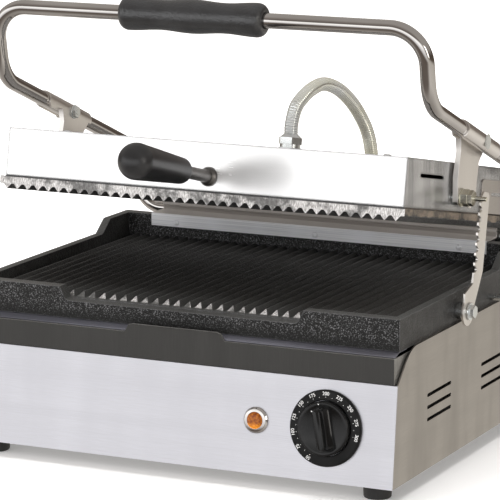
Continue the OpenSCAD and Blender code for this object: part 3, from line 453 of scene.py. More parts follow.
@dataclass(frozen=True)
class CastIron(Finish):
    """Seasoned cast iron: a grainy near-black skin, grey flecks, and paler edges that are part rubbed wear and part
    painted highlight.
    """

    name: str
    skin: Colour = (0.036, 0.036, 0.0345)
    fleck: Colour = (0.20, 0.20, 0.20)
    flecks: float = 0.5  # how strong they are
    machined: float = 0.0  # how evenly the machined face is cut, 0 for none
    face: Triple = (0.0, -1.0, 0.0)  # the direction that the machined face looks in
    reach: tuple[float, float] = (-FAR, FAR)  # of the machined face, from front to back
    level: float = -FAR  # the lowest height of the machined face
    sheen: float = 0.35
    stain: float = 0.0  # the upright distance where scorching starts, 0 for none
    painted_shadow_from: float = 0.0  # the upright distance where machining ends and the front keeps its dark skin, a painted shadow of the gap under the shell, 0 for nowhere
    painted_glints: float = 0.0  # how bright the painted glints on the front are
    painted_top_light: float = 1.0  # painted light: how much paler the upper side is
    upwards: tuple[float, float] = (0.3, 0.7)  # from where a face counts as the upper side
    grains: float = 1100.0  # in a metre
    metal: float = 0.25
    cut_metal: float = 0.6  # where it is machined
    rough: tuple[float, float] = (0.30, 0.52)
    rim: float = 0.0011  # how wide the paler edges are, part rubbed wear and part painted highlight
    worn_and_highlit_edge: Colour = (0.22, 0.22, 0.23)
    # the tone of the painted glints
    painted_glint_tone: Colour = (0.30, 0.30, 0.31)
    cut: tuple[Colour, Colour] = ((0.40, 0.38, 0.37), (0.98, 0.97, 0.96))
    scorched: tuple[Colour, Colour] = ((0.10, 0.085, 0.07), (0.26, 0.21, 0.16))
    painted_glint_heights: tuple[float, float] = (0.126, 0.134)  # the heights between which the painted glints get many
    ragged: float = 0.0014  # how far the scorched border wanders
    blur: float = 0.0002  # half the width of a border between two looks

    def make(self) -> bpy.types.Material:
        """Makes the material, with a machined face in one direction where there is one."""
        s = Shader(self.name)
        grain = s.noise(self.grains, 4.0, rough=0.65)
        coarse = s.noise(120.0, 3.0)
        worn = s.product(grain, s.range(coarse, *MOST, 0.85, 1.12))
        tone = s.blend(s.range(worn, 0.50, 0.64, 0.0, self.flecks), self.skin, self.fleck)
        # Painted light: glints and painted shade on the front, and a paler upper side.
        if self.painted_glints:
            tone = self.painted_front_light(s, tone)
        # Paler edges: part rubbed wear, part painted highlight.
        tone = s.blend(s.product(s.edges(self.rim), s.range(grain, 0.35, 0.6, 0.25, 0.8)), tone, self.worn_and_highlit_edge)
        metal: Any = self.metal
        if self.machined:
            patchy = self.patchy(s)
            scratch = s.noise(1.0, 3.0, s.stretched((1500.0, 1500.0, 110.0)), rough=0.65)
            tone = s.blend(patchy, tone, s.blend(s.range(scratch, 0.38, 0.60), *self.cut))
            metal = s.range(patchy, 0.0, 1.0, self.metal, self.cut_metal)
        if self.stain:
            tone = s.blend(self.stained(s), tone, s.blend(s.range(coarse, 0.35, 0.6), *self.scorched))
        s.set(Base_Color=tone, Metallic=metal, Specular_IOR_Level=self.sheen)
        s.set(Roughness=s.range(grain, *MOST, *self.rough))
        peel = s.noise(420.0, 2.0)
        s.bump(s.weighted((peel, 1.3), (grain, 1.0), (s.cells(self.grains), 0.4)), 0.75, 0.0008)
        return s.material

    def painted_front_light(self, s: Shader, tone: Socket) -> Socket:
        """Paints light on the skin: glints on the front, fewer low down, painted shade on the front and painted light
        on the upper side.

        Args:
            s: the material under construction.
            tone: the skin's own tone.

        Returns:
            The new tone as an output socket.
        """
        front = s.range(s.product(s.looks(Axis.Y), -1.0), 0.6, 0.9)
        glint_spots = s.range(s.noise(1000.0, 3.0, rough=0.6), 0.54, 0.66)
        bright = s.product(front, glint_spots, s.range(s.at(Axis.Z), *self.painted_glint_heights, 0.15, self.painted_glints))
        dark = s.blend(front, tone, shaded(self.skin, 0.35))
        pale = s.blend(s.range(s.looks(Axis.Z), *self.upwards), dark, shaded(self.skin, self.painted_top_light))
        return s.blend(bright, pale, self.painted_glint_tone)

    def patchy(self, s: Shader) -> Socket:
        """Makes the mask of the machined face, with the places that the cutter missed.

        Args:
            s: the material under construction.

        Returns:
            The mask as an output socket, 1 where the iron is machined.
        """
        front = s.product(self.facing(s), self.within(s))
        # Painted shadow: above this distance the front stays dark, for the gap between the shell and the plate.
        if self.painted_shadow_from:
            front = s.product(front, s.range(self.upright(s), self.painted_shadow_from, self.painted_shadow_from + BORDER, 1.0, 0.0))
        return s.product(front, s.range(s.noise(45.0, 4.0, rough=0.7), 0.40, 0.52, 1.0 - self.machined, 1.0))

    def stained(self, s: Shader) -> Socket:
        """Makes the mask of the scorched upper part of the sides.

        Args:
            s: the material under construction.

        Returns:
            The mask as an output socket, 1 where the iron is scorched.
        """
        wavy = s.maths("ADD", self.upright(s), s.range(s.noise(60.0, 3.0), *MOST, -self.ragged, self.ragged))
        beside = s.range(s.maths("ABSOLUTE", s.looks(Axis.X)), 0.8, 0.9)
        return s.product(beside, s.range(wavy, self.stain, self.stain + 4 * self.blur))

    def upright(self, s: Shader) -> Socket:
        """Gives the distance along the casting's own upright direction."""
        return s.dot(s.place(), (0.0, self.face[2], -self.face[1]))

    def within(self, s: Shader) -> Socket:
        """Makes the mask of what lies inside the reach from front to back and above the level.

        Args:
            s: the material under construction.

        Returns:
            The mask as an output socket, 1 inside.
        """
        start, end = self.reach
        front = s.range(s.at(Axis.Y), start - self.blur, start + self.blur)
        back = s.range(s.at(Axis.Y), end - self.blur, end + self.blur, 1.0, 0.0)
        return s.product(front, back, s.range(s.at(Axis.Z), self.level - self.blur, self.level + self.blur))

    def facing(self, s: Shader) -> Socket:
        """Gives 1 where the surface looks along the machined direction."""
        return s.range(s.dot(s.node("TexCoord").outputs["Normal"], self.face), 0.80, 0.92)


@dataclass(frozen=True)
class Moulding(Finish):
    """Moulded plastic or rubber with a fine skin."""

    name: str
    tint: Colour
    rough: float = 0.45
    skin: float = 0.12  # how strong the skin's pattern is
    coat: float = 0.0
    scale: float = 1800.0  # of the skin's pattern, in a metre
    sheen: float = 0.5
    depth: float = 0.0002  # of the skin's pattern

    def make(self) -> bpy.types.Material:
        """Makes the material from a fine skin and slow changes of sheen."""
        s = Shader(self.name)
        fine = s.noise(self.scale, 3.0)
        slow = s.noise(60.0, 3.0)
        lighter = tuple(c * 1.35 + 0.004 for c in self.tint)
        s.set(Base_Color=s.blend(s.range(slow, *MOST), self.tint, lighter))
        s.set(Roughness=s.range(s.maths("ADD", slow, fine), *MOST_OF_TWO, self.rough * 0.85, self.rough * 1.15))
        s.set(Coat_Weight=self.coat, Coat_Roughness=0.06, Specular_IOR_Level=self.sheen)
        s.bump(fine, self.skin, self.depth)
        return s.material


@dataclass(frozen=True)
class AmberLens(Finish):
    """Translucent amber plastic over a small neon lamp."""

    name: str = "amber_lens"
    top: float = 0.0563  # the height where it is darkest
    fade: float = 0.0052  # how far below the top it is brightest
    bright: Colour = (0.80, 0.27, 0.015)
    dark: Colour = (0.15, 0.032, 0.004)
    facets: float = 500.0  # in a metre

    def make(self) -> bpy.types.Material:
        """Makes the material from a bright core and darker facets."""
        s = Shader(self.name)
        facets = s.cells(self.facets)
        falling = s.range(s.at(Axis.Z), self.top - self.fade, self.top, 0.0, 0.85)
        share = s.maths("ADD", falling, s.range(facets, 0.2, 0.8, -0.15, 0.15))
        tone = s.blend(s.range(share, 0.0, 1.0), self.bright, self.dark)
        s.set(Base_Color=tone, Roughness=0.15, Specular_IOR_Level=0.25, Coat_Weight=0.2)
        s.set(Emission_Color=tone, Emission_Strength=0.10)
        s.bump(facets, 0.1, 0.0003)
        return s.material


@dataclass(frozen=True)
class Plain(Finish):
    """A matt surface with faint mottling, for the floor and for printed marks."""

    name: str
    tint: Colour
    rough: float = 0.6
    glow: float = 0.0
    halo: tuple[float, float] = (0.3, 1.3)  # the distances between which the glow grows

    def make(self) -> bpy.types.Material:
        """Makes the material, with a glow that grows away from the middle where it has one."""
        s = Shader(self.name)
        mottle = s.range(s.noise(3.0), *MOST)
        s.set(Base_Color=s.blend(mottle, shaded(self.tint, 0.985), self.tint), Roughness=self.rough)
        if self.glow:
            away = s.node("VectorMath", {0: s.place()}, operation="LENGTH").outputs["Value"]
            s.set(Emission_Color=(1.0, 1.0, 1.0))
            s.set(Emission_Strength=s.range(away, *self.halo, self.glow * 0.25, self.glow))
        return s.material


FRONT_STEEL = BrushedSteel("front_steel", (0.78, 0.785, 0.83), Axis.X, 0.48, 0.09, smudge=0.02)
# The side and rear panels get a darker, browner copy of the front panel's steel: painted shade on faces turned from
# the light.
SIDE_STEEL_PAINTED_SHADE = BrushedSteel("side_steel_painted_shade", (0.48, 0.455, 0.42), Axis.Y, 0.36, 0.10, smudge=0.22, slant=0.7)
# The housing's sides and top get painted shade at about half the front's tone, and its folded edges get painted dark
# lines.
HEAD_STEEL = BrushedSteel(
    "head_steel", (0.86, 0.86, 0.86), Axis.X, 0.24, 0.02, smudge=0.03, metal=0.72, painted_side_light=0.50, painted_fold_shade=0.0026
)
COVER_STEEL = BrushedSteel("cover_steel", (0.56, 0.53, 0.50), Axis.Y, 0.34, 0.08)
# The hood's top behind its front strip gets a darker brown second tone, painted shade under the upper housing.
HOOD_STEEL = BrushedSteel(
    "hood_steel", (0.95, 0.96, 1.0), Axis.X, 0.36, 0.28, metal=0.35, length=0.12, painted_shade_from=0.1391,
    second=(0.46, 0.43, 0.405),
)
BRACKET_STEEL = BrushedSteel("bracket_steel", (0.88, 0.85, 0.81), Axis.Z, 0.32, 0.05)
GALVANISED = BrushedSteel("galvanised", (0.48, 0.49, 0.50), Axis.Y, 0.42, 0.10)
# The tray's steel is painted near-black as a painted dark reflection on its front; painted side light lifts its sides
# back to the steel's own tone.
TRAY_STEEL_PAINTED_REFLECTION = BrushedSteel("tray_steel", (0.064, 0.063, 0.060), Axis.Z, 0.42, 0.14, metal=0.7, painted_side_light=5.5)
RAIL_STEEL = BrushedSteel("rail_steel", (0.17, 0.17, 0.20), Axis.X, 0.40, 0.10, metal=0.6)
CHROME = PolishedMetal("chrome", (0.60, 0.58, 0.56), (0.52, 0.50, 0.48), 0.07)
ZINC = PolishedMetal("zinc", (0.80, 0.83, 0.84), (0.68, 0.70, 0.68), 0.18, 0.12, 0.06)
YELLOW_ZINC = PolishedMetal("yellow_zinc", (0.80, 0.77, 0.62), (0.68, 0.68, 0.62), 0.18, 0.12, 0.06)
HOSE_METAL = PolishedMetal("hose_metal", (0.86, 0.89, 0.89), (0.84, 0.84, 0.70), 0.13, 0.012, 0.02, 0.82)
ROD_STEEL = PolishedMetal("rod_steel", (0.16, 0.155, 0.15), (0.20, 0.19, 0.18), 0.30, 0.08, 0.06)
# The lower casting gets painted glints and shade on its front, and painted light on its upper side.
IRON = CastIron(
    "cast_iron", flecks=0.35, painted_glints=0.7, painted_top_light=2.6, machined=0.95, face=(0.0, -0.6, 0.8), reach=(-0.1262, -0.1150),
    level=0.1392,
)
BLOCK_IRON = CastIron("block_iron")
# Above a set height the head casting's front keeps its dark skin: a painted shadow of the gap under the shell.
HEAD_IRON = CastIron(
    "head_iron", stain=0.2043, painted_shadow_from=0.2091, machined=0.8, face=(0.0, -math.cos(TILT), math.sin(TILT))
)
ELEMENT = Moulding("element_sheath", (0.05, 0.05, 0.052), 0.5)
GRIP_BLACK = Moulding("grip_black", (0.009, 0.0095, 0.0105), 0.33, 0.9, scale=520.0, sheen=1.0, depth=0.0005)
BALL_BLACK = Moulding("ball_black", (0.011, 0.011, 0.0115), 0.33, 0.10)
DIAL_BLACK = Moulding("dial_black", (0.006, 0.006, 0.006), 0.30, 0.06, sheen=0.12)
KNOB_BLACK = Moulding("knob_black", (0.004, 0.004, 0.004), 0.12, 0.02, coat=0.25, sheen=0.15)
FOOT_RUBBER = Moulding("foot_rubber", (0.014, 0.014, 0.014), 0.62, 0.3)
CREAM = Moulding("cream_plastic", (0.72, 0.70, 0.64), 0.4)
AMBER = AmberLens()
PRINT = Plain("white_print", (0.85, 0.85, 0.84), 0.5)
FLOOR = Plain("floor", (0.93, 0.93, 0.93), 0.7, 0.75)


# ---------------------------------------------------------------- places


@dataclass(frozen=True)
class Layout:
    """Where the moving pieces of the press are at rest."""

    hinge: Vector
    pivot: Vector
    knob: Vector
    knob_axis: Vector
    tilt: float = TILT
    pivot_back: float = 0.110
    pivot_up: float = 0.012

    @staticmethod
    def read(frame: dict[str, Any]) -> "Layout":
        """Reads the joints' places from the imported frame.

        Args:
            frame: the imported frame.

        Returns:
            The layout at rest.
        """
        joints = {joint["name"]: joint for joint in frame["joints"]}
        places = [Vector(joints[name]["pos_m"]) for name in ("arm_hinge", "head_tilt", "thermostat_turn")]
        return Layout(*places, Vector(joints["thermostat_turn"]["axis"]))

    def head(self) -> Matrix:
        """Gives the upper housing's own frame, from its lower front edge."""
        turn = Matrix.Rotation(-self.tilt, 4, "X")
        return Matrix.Translation(self.pivot) @ turn @ Matrix.Translation((0.0, -self.pivot_back, -self.pivot_up))

    def panel(self) -> Matrix:
        """Gives a frame on the front panel at the thermostat, with Z pointing out of it."""
        out = -self.knob_axis
        side = Vector((1.0, 0.0, 0.0))
        return Matrix.Translation(self.knob) @ Matrix((side, out.cross(side), out)).transposed().to_4x4()


# ---------------------------------------------------------------- mesh tools


def link(obj: bpy.types.Object) -> bpy.types.Object:
    """Puts an object into the scene."""
    bpy.context.scene.collection.objects.link(obj)
    return obj


def new_object(name: str, mesh: bpy.types.Mesh) -> bpy.types.Object:
    """Makes an object in the scene from a mesh that is already in place."""
    return link(bpy.data.objects.new(name, mesh))


def mesh_from(bm: bmesh.types.BMesh, name: str) -> bpy.types.Mesh:
    """Turns a bmesh into a mesh.

    Args:
        bm: the bmesh, which is freed.
        name: the mesh's name.

    Returns:
        The new mesh.
    """
    mesh = bpy.data.meshes.new(name)
    bm.to_mesh(mesh)
    bm.free()
    return mesh


def paint(mesh: bpy.types.Mesh, finish: Finish) -> bpy.types.Mesh:
    """Gives a mesh one finish all over.

    Args:
        mesh: the mesh.
        finish: its finish.

    Returns:
        The same mesh.
    """
    mesh.materials.clear()
    mesh.materials.append(finish.material())
    return mesh


def from_bmesh(name: str, bm: bmesh.types.BMesh, finish: Finish, smooth: float = CRISP) -> bpy.types.Object:
    """Turns a bmesh into an object with outward faces and rounded shading.

    Args:
        name: the object's name.
        bm: the bmesh, which is freed.
        finish: the object's finish.
        smooth: the angle above which an edge stays crisp.

    Returns:
        The new object.
    """
    bmesh.ops.remove_doubles(bm, verts=bm.verts, dist=OWN_GAP)
    bmesh.ops.recalc_face_normals(bm, faces=bm.faces)
    mesh = mesh_from(bm, name)
    shade(mesh, smooth)
    return new_object(name, paint(mesh, finish))


def shade(mesh: bpy.types.Mesh, angle: float) -> None:
    """Shades a mesh smooth, but keeps its sharper edges crisp.

    Args:
        mesh: the mesh.
        angle: the angle in degrees above which an edge stays crisp.
    """
    for face in mesh.polygons:
        face.use_smooth = True
    mesh.set_sharp_from_angle(angle=math.radians(angle))


def plain_mesh(obj: bpy.types.Object) -> bpy.types.Mesh:
    """Gives an object's evaluated shape as a plain mesh."""
    graph = bpy.context.evaluated_depsgraph_get()
    return bpy.data.meshes.new_from_object(obj.evaluated_get(graph), depsgraph=graph)


def take_mesh(obj: bpy.types.Object) -> bpy.types.Mesh:
    """Turns an object into a plain mesh of its evaluated shape.

    Args:
        obj: the object, which is removed.

    Returns:
        The new mesh.
    """
    done = plain_mesh(obj)
    bpy.data.objects.remove(obj)
    return done


def flat_faces_flat(mesh: bpy.types.Mesh) -> bpy.types.Mesh:
    """Shades a sheet or casting smooth, its large flat faces staying flat up to their rounded edges.

    Args:
        mesh: the mesh with its rounded edges.

    Returns:
        A new mesh with weighted normals.
    """
    shade(mesh, CRISP_SHEET)
    obj = new_object("shading", mesh)
    weighing = obj.modifiers.new("weighing", "WEIGHTED_NORMAL")
    weighing.mode = "FACE_AREA"
    weighing.weight = 100
    weighing.keep_sharp = True
    return take_mesh(obj)


def round_edges(obj: bpy.types.Object, width: float, segments: int, angle: float, miter: str) -> None:
    """Rounds an object's sharp edges.

    Args:
        obj: the object.
        width: the width of a rounded edge.
        segments: how many faces round an edge.
        angle: the angle in degrees above which an edge is rounded.
        miter: how rounded edges meet at a corner.
    """
    rounding = obj.modifiers.new("rounding", "BEVEL")
    rounding.width, rounding.segments = width, segments
    rounding.limit_method, rounding.angle_limit = "ANGLE", math.radians(angle)
    rounding.use_clamp_overlap = True
    rounding.miter_outer = miter


def thicken(obj: bpy.types.Object, thickness: float, offset: float, even: bool = False) -> None:
    """Gives an open sheet its wall.

    Args:
        obj: the sheet's object.
        thickness: the wall's thickness.
        offset: the side that it grows on, from -1 to 1, 0 for both.
        even: whether a fold keeps the wall's thickness.
    """
    wall = obj.modifiers.new("wall", "SOLIDIFY")
    wall.thickness, wall.offset, wall.use_even_offset = thickness, offset, even


def mount(piece: bpy.types.Object, body: Body, *nodes: str) -> None:
    """Lets a finished piece ride on a body and stand for CAD nodes.

    Args:
        piece: the piece.
        body: the body that it rides on.
        nodes: the CAD nodes that it replaces, none where it stands for none.
    """
    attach(piece, body.value)
    for node in nodes:
        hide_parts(node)


def refine(node: str, name: str, finish: Finish, body: Body, edge: float = SHEET_EDGE, segments: int = 2) -> None:
    """Makes a detailed piece from a CAD node: merged, with rounded edges, and shaded smooth.

    Args:
        node: the CAD node that the piece replaces.
        name: the new piece's name.
        finish: its finish.
        body: the body that it rides on.
        edge: the width of its rounded edges.
        segments: how many faces round an edge.
    """
    bm = bmesh.new()
    bm.from_mesh(bpy.data.objects[node].data)
    bmesh.ops.remove_doubles(bm, verts=bm.verts, dist=NODE_GAP)
    bmesh.ops.dissolve_limit(bm, angle_limit=math.radians(FLAT), verts=bm.verts, edges=bm.edges)
    obj = new_object(name, mesh_from(bm, name))
    round_edges(obj, edge, segments, ROUNDED, "MITER_ARC")
    mesh = flat_faces_flat(take_mesh(obj))
    mount(new_object(name, paint(mesh, finish)), body, node)
    LOG.info("refined %s: %d faces", name, len(mesh.polygons))


def dress(nodes: Iterable[str], finish: Finish) -> None:
    """Gives CAD nodes that are shown as they are a finish.

    Args:
        nodes: the CAD nodes.
        finish: their finish.
    """
    for node in nodes:
        paint(bpy.data.objects[node].data, finish)
        LOG.info("dressed %s in %s", node, finish.material().name)


def ring(
    bm: bmesh.types.BMesh, place: Matrix, radius: float, height: float, sides: int, start: float = 0.0
) -> list[bmesh.types.BMVert]:
    """Adds a ring of vertices round the local Z of a frame, or one vertex where the radius is 0.

    Args:
        bm: the bmesh that grows.
        place: the frame.
        radius: the ring's radius.
        height: its height in the frame.
        sides: how many vertices go round.
        start: where the first one is, as a share of a side.

    Returns:
        The new vertices.
    """
    if radius < AXIS_GAP:
        return [bm.verts.new(place @ Vector((0, 0, height)))]
    turn = [2 * math.pi * (k + start) / sides for k in range(sides)]
    return [bm.verts.new(place @ Vector((radius * math.cos(a), radius * math.sin(a), height))) for a in turn]


def join_rings(bm: bmesh.types.BMesh, rings: Sequence[list[bmesh.types.BMVert]], closed: bool = False) -> None:
    """Fills the bands between rings of vertices, from the lowest ring up.

    Args:
        bm: the bmesh that grows.
        rings: the rings, one of a single vertex being a closed end.
        closed: whether the first and the last ring get a flat face.
    """
    for low, high in zip(rings, rings[1:]):
        sides = max(len(low), len(high))
        for k in range(sides):
            after = (k + 1) % sides
            corners = [low[k % len(low)], low[after % len(low)], high[after % len(high)], high[k % len(high)]]
            unique = list(dict.fromkeys(corners))
            if len(unique) > 2:
                bm.faces.new(unique)
    if closed:
        bm.faces.new(rings[-1])
        bm.faces.new(list(reversed(rings[0])))


def lathe(
    name: str, profile: Sequence[tuple[float, float]], place: Matrix, finish: Finish, sides: int = 96,
    smooth: float = CRISP,
) -> bpy.types.Object:
    """Turns a profile of radius and height round the local Z of a frame.

    Args:
        name: the piece's name.
        profile: pairs of radius and height, a radius of 0 closing an end.
        place: the frame whose Z is the axis.
        finish: the piece's finish.
        sides: how many faces go round.
        smooth: the angle above which an edge stays crisp.

    Returns:
        The new object.
    """
    bm = bmesh.new()
    join_rings(bm, [ring(bm, place, radius, height, sides) for radius, height in profile])
    return from_bmesh(name, bm, finish, smooth)


def stack(bm: bmesh.types.BMesh, place: Matrix, layers: Sequence[tuple[float, float, int]], sides: int = 40) -> None:
    """Adds discs and hexagons to a bmesh, one on the other along a frame's Z.

    Args:
        bm: the bmesh that grows.
        place: the frame that they start from.
        layers: each one's radius and thickness in mm, and its number of sides with 0 for a round one.
        sides: how many sides a round one has.
    """
    level = 0.0
    for radius, thick, corners in layers:
        edge = min(thick * 0.3, 0.45)
        outline = ((radius, 0.0), (radius, thick - edge), (radius - edge * 1.4, thick))
        rings = [ring(bm, place, r * MM, (level + z) * MM, corners or sides, 0.5) for r, z in outline]
        join_rings(bm, rings, closed=True)
        level += thick


def bend_points(corners: Sequence[Vector], radii: Sequence[float], step: float = 3.0) -> list[Vector]:
    """Rounds the inner corners of a line.

    Args:
        corners: the line's corners and ends.
        radii: the radius of the bend at each inner corner.
        step: the angle in degrees between two points of a bend.

    Returns:
        The points of the rounded line.
    """
    line = [corners[0]]
    for before, corner, after, radius in zip(corners, corners[1:], corners[2:], radii):
        a, b = (before - corner).normalized(), (after - corner).normalized()
        turn = math.pi - a.angle(b)
        centre = corner + (a + b).normalized() * radius / math.cos(turn / 2)
        start = corner + a * radius * math.tan(turn / 2) - centre
        axis = start.cross(corner + b * radius * math.tan(turn / 2) - centre).normalized()
        count = max(2, round(math.degrees(turn) / step))
        line += [centre + Matrix.Rotation(turn * k / count, 3, axis) @ start for k in range(count + 1)]
    return [*line, corners[-1]]


def poly_curve(name: str, points: Sequence[Vector]) -> bpy.types.Object:
    """Makes a curve of straight pieces.

    Args:
        name: the curve's name.
        points: the points that it goes through.

    Returns:
        The new curve object.
    """
    data = bpy.data.curves.new(name, "CURVE")
    data.dimensions = "3D"
    spline = data.splines.new("POLY")
    spline.points.add(len(points) - 1)
    for target, point in zip(spline.points, points):
        target.co = (*point, 1.0)
    return link(bpy.data.objects.new(name, data))


# ---------------------------------------------------------------- geometry nodes


class NodeTool(Wiring):
    """A geometry node tree with named inputs, run once on an object."""

    def __init__(self, name: str, **inputs: str) -> None:
        """Starts a tree that takes geometry, a material and other inputs, and gives geometry.

        Args:
            name: the tree's name.
            inputs: the kind of each other input, such as Float, by its name.
        """
        super().__init__(bpy.data.node_groups.new(name, "GeometryNodeTree"))
        self.named: dict[str, str] = {}
        for key, kind in {"Geometry": "Geometry", **inputs, "Material": "Material"}.items():
            made = self.tree.interface.new_socket(key, in_out="INPUT", socket_type="NodeSocket" + kind)
            self.named[key] = made.identifier
        self.tree.interface.new_socket("Geometry", in_out="OUTPUT", socket_type="NodeSocketGeometry")
        self.given = self.node("NodeGroupInput").outputs

    def close(self, geometry: Socket) -> None:
        """Ends the tree: real geometry, with the material that the tree is given.

        Args:
            geometry: what it has made.
        """
        whole = self.node("GeometryNodeRealizeInstances", {0: geometry}).outputs[0]
        dressed = self.node("GeometryNodeSetMaterial", {0: whole, "Material": self.given["Material"]}).outputs[0]
        self.node("NodeGroupOutput", {0: dressed})

    def run(self, host: bpy.types.Object, name: str, finish: Finish, smooth: float, **values: Any) -> bpy.types.Object:
        """Runs the tree on an object and makes a piece of the result.

        Args:
            host: the object that carries the tree, which is removed afterwards.
            name: the new piece's name.
            finish: the new piece's finish.
            smooth: the angle above which an edge stays crisp.
            values: the tree's other inputs, by name.

        Returns:
            A plain mesh object.
        """
        modifier = host.modifiers.new("tool", "NODES")
        modifier.node_group = self.tree
        for key, value in {**values, "Material": finish.material()}.items():
            modifier[self.named[key]] = value
        host.update_tag()
        mesh = take_mesh(host)
        mesh.name = name
        shade(mesh, smooth)
        LOG.info("made %s: %d faces", name, len(mesh.polygons))
        return new_object(name, mesh)


def rippled_tube() -> NodeTool:
    """Builds the tree that sweeps a round section along a path, with rings at an even pitch."""
    tool = NodeTool("rippled_tube", Radius="Float", Depth="Float", Pitch="Float", Step="Float", Sides="Int")
    sockets = {0: tool.given["Geometry"], "Length": tool.given["Step"]}
    path = tool.node("GeometryNodeResampleCurve", sockets, mode="LENGTH")
    along = tool.node("GeometryNodeSplineParameter").outputs["Length"]
    half_turns = tool.maths("MULTIPLY", tool.maths("DIVIDE", along, tool.given["Pitch"]), math.pi)
    wave = tool.maths("POWER", tool.maths("ABSOLUTE", tool.maths("SINE", half_turns)), 4.0)
    size = tool.maths("SUBTRACT", tool.given["Radius"], tool.maths("MULTIPLY", tool.given["Depth"], wave))
    section = tool.node("GeometryNodeCurvePrimitiveCircle", {"Resolution": tool.given["Sides"], "Radius": 1.0})
    sockets = {0: path.outputs[0], 1: section.outputs[0], "Scale": size, "Fill Caps": True}
    tool.close(tool.node("GeometryNodeCurveToMesh", sockets).outputs[0])
    return tool


def fasteners_on_points() -> NodeTool:
    """Builds the tree that sets one fastener on every vertex, its Z along the vertex's own direction."""
    tool = NodeTool("fasteners_on_points", Fastener="Object")
    shape = tool.node("GeometryNodeObjectInfo", {"Object": tool.given["Fastener"]}).outputs["Geometry"]
    way = tool.node("GeometryNodeInputNamedAttribute", {"Name": "way"}, data_type="FLOAT_VECTOR").outputs[0]
    turned = tool.node("FunctionNodeAlignRotationToVector", {"Vector": way}, axis="Z").outputs[0]
    sockets = {0: tool.given["Geometry"], "Instance": shape, "Rotation": turned}
    tool.close(tool.node("GeometryNodeInstanceOnPoints", sockets).outputs[0])
    return tool


def marks_on_arc() -> NodeTool:
    """Builds the tree that sets flat bars round an arc in the XY plane, for a printed scale."""
    tool = NodeTool(
        "marks_on_arc", Count="Int", Radius="Float", First="Float", Sweep="Float", Length="Float", Width="Float",
        Thickness="Float",
    )
    inputs = {"Resolution": "Count", "Radius": "Radius", "Start Angle": "First", "Sweep Angle": "Sweep"}
    arc = tool.node("GeometryNodeCurveArc", {key: tool.given[name] for key, name in inputs.items()}).outputs[0]
    tangent = tool.node("GeometryNodeInputTangent").outputs[0]
    turned = tool.node("FunctionNodeAlignRotationToVector", {"Vector": tangent}, axis="X").outputs[0]
    sides = {k: tool.given[name] for k, name in enumerate(("Width", "Length", "Thickness"))}
    size = tool.node("CombineXYZ", sides).outputs[0]
    bar = tool.node("GeometryNodeMeshCube", {"Size": size}).outputs[0]
    tool.close(tool.node("GeometryNodeInstanceOnPoints", {0: arc, "Instance": bar, "Rotation": turned}).outputs[0])
    return tool


def point_cloud(name: str, places: Sequence[tuple[Vector, Vector]]) -> bpy.types.Object:
    """Makes a mesh of loose points with a direction each.

    Args:
        name: the mesh's name.
        places: each point and the direction that its fastener looks in.

    Returns:
        The new object.
    """
    mesh = bpy.data.meshes.new(name)
    mesh.from_pydata([tuple(point) for point, _ in places], [], [])
    way = mesh.attributes.new("way", "FLOAT_VECTOR", "POINT")
    for item, (_, direction) in zip(way.data, places):
        item.vector = direction.normalized()
    return new_object(name, mesh)


# ---------------------------------------------------------------- sub-assemblies


@dataclass
class BaseHousing:
    """The folded sheet housing with its feet and lower plate."""

    feet: tuple[str, ...] = ("foot_front_left", "foot_front_right", "foot_rear_left", "foot_rear_right")

    def build(self) -> None:
        """Makes the housing's pieces and dresses what stays as it is."""
        refine("front_panel", "front_panel_sheet", FRONT_STEEL, Body.BASE, PANEL_EDGE, 3)
        refine("side_panel_left", "side_sheet_left", SIDE_STEEL_PAINTED_SHADE, Body.BASE)
        refine("side_panel_right", "side_sheet_right", SIDE_STEEL_PAINTED_SHADE, Body.BASE)
        refine("rear_panel", "rear_sheet", SIDE_STEEL_PAINTED_SHADE, Body.BASE)
        refine("lower_plate", "lower_casting", IRON, Body.BASE, CAST_EDGE, 3)
        dress(["bottom_plate", "lower_element_clamp"], GALVANISED)
        dress(["foot_screws"], ZINC)
        dress(["lower_heating_element"], ELEMENT)
        dress(["thermostat_body", "lamp_body", "terminal_block"], CREAM)
        for node in self.feet:
            refine(node, node + "_rubber", FOOT_RUBBER, Body.BASE, BLOCK_EDGE, 3)


@dataclass
class Drawer:
    """The grease drawer between front panel and lower plate, and the rail over it, in mm."""

    rail: tuple[tuple[float, float], ...] = ((-144.2, 119.7), (-143.4, 120.4), (-136.0, 122.8), (-120.0, 122.8))
    rail_half: float = 196.8
    rail_wall: float = 0.8

    def build(self) -> None:
        """Makes the drawer's folded sheet and the fixed rail above it."""
        refine("grease_tray", "grease_tray_sheet", TRAY_STEEL_PAINTED_REFLECTION, Body.DRAWER)
        bm = bmesh.new()
        ends = (-self.rail_half, self.rail_half)
        left, right = ([bm.verts.new(Vector((x, y, z)) * MM) for y, z in self.rail] for x in ends)
        for k in range(len(self.rail) - 1):
            bm.faces.new((left[k], right[k], right[k + 1], left[k + 1]))
        rail = from_bmesh("drawer_rail", bm, RAIL_STEEL)
        thicken(rail, self.rail_wall * MM, -1.0)
        rail.data = plain_mesh(rail)
        rail.modifiers.clear()
        mount(rail, Body.BASE)


@dataclass
class Hinge:
    """The bearing blocks, the folded hood over them and the collars."""

    def build(self) -> None:
        """Makes the hood, the bearings and the collars."""
        refine("hinge_cover", "hinge_hood", HOOD_STEEL, Body.BASE)
        refine("hinge_block_left", "bearing_left", BLOCK_IRON, Body.BASE, BLOCK_EDGE)
        refine("hinge_block_right", "bearing_right", BLOCK_IRON, Body.BASE, BLOCK_EDGE)
        refine("hinge_collars", "hinge_rings", ZINC, Body.ARMS, TURNED_EDGE)


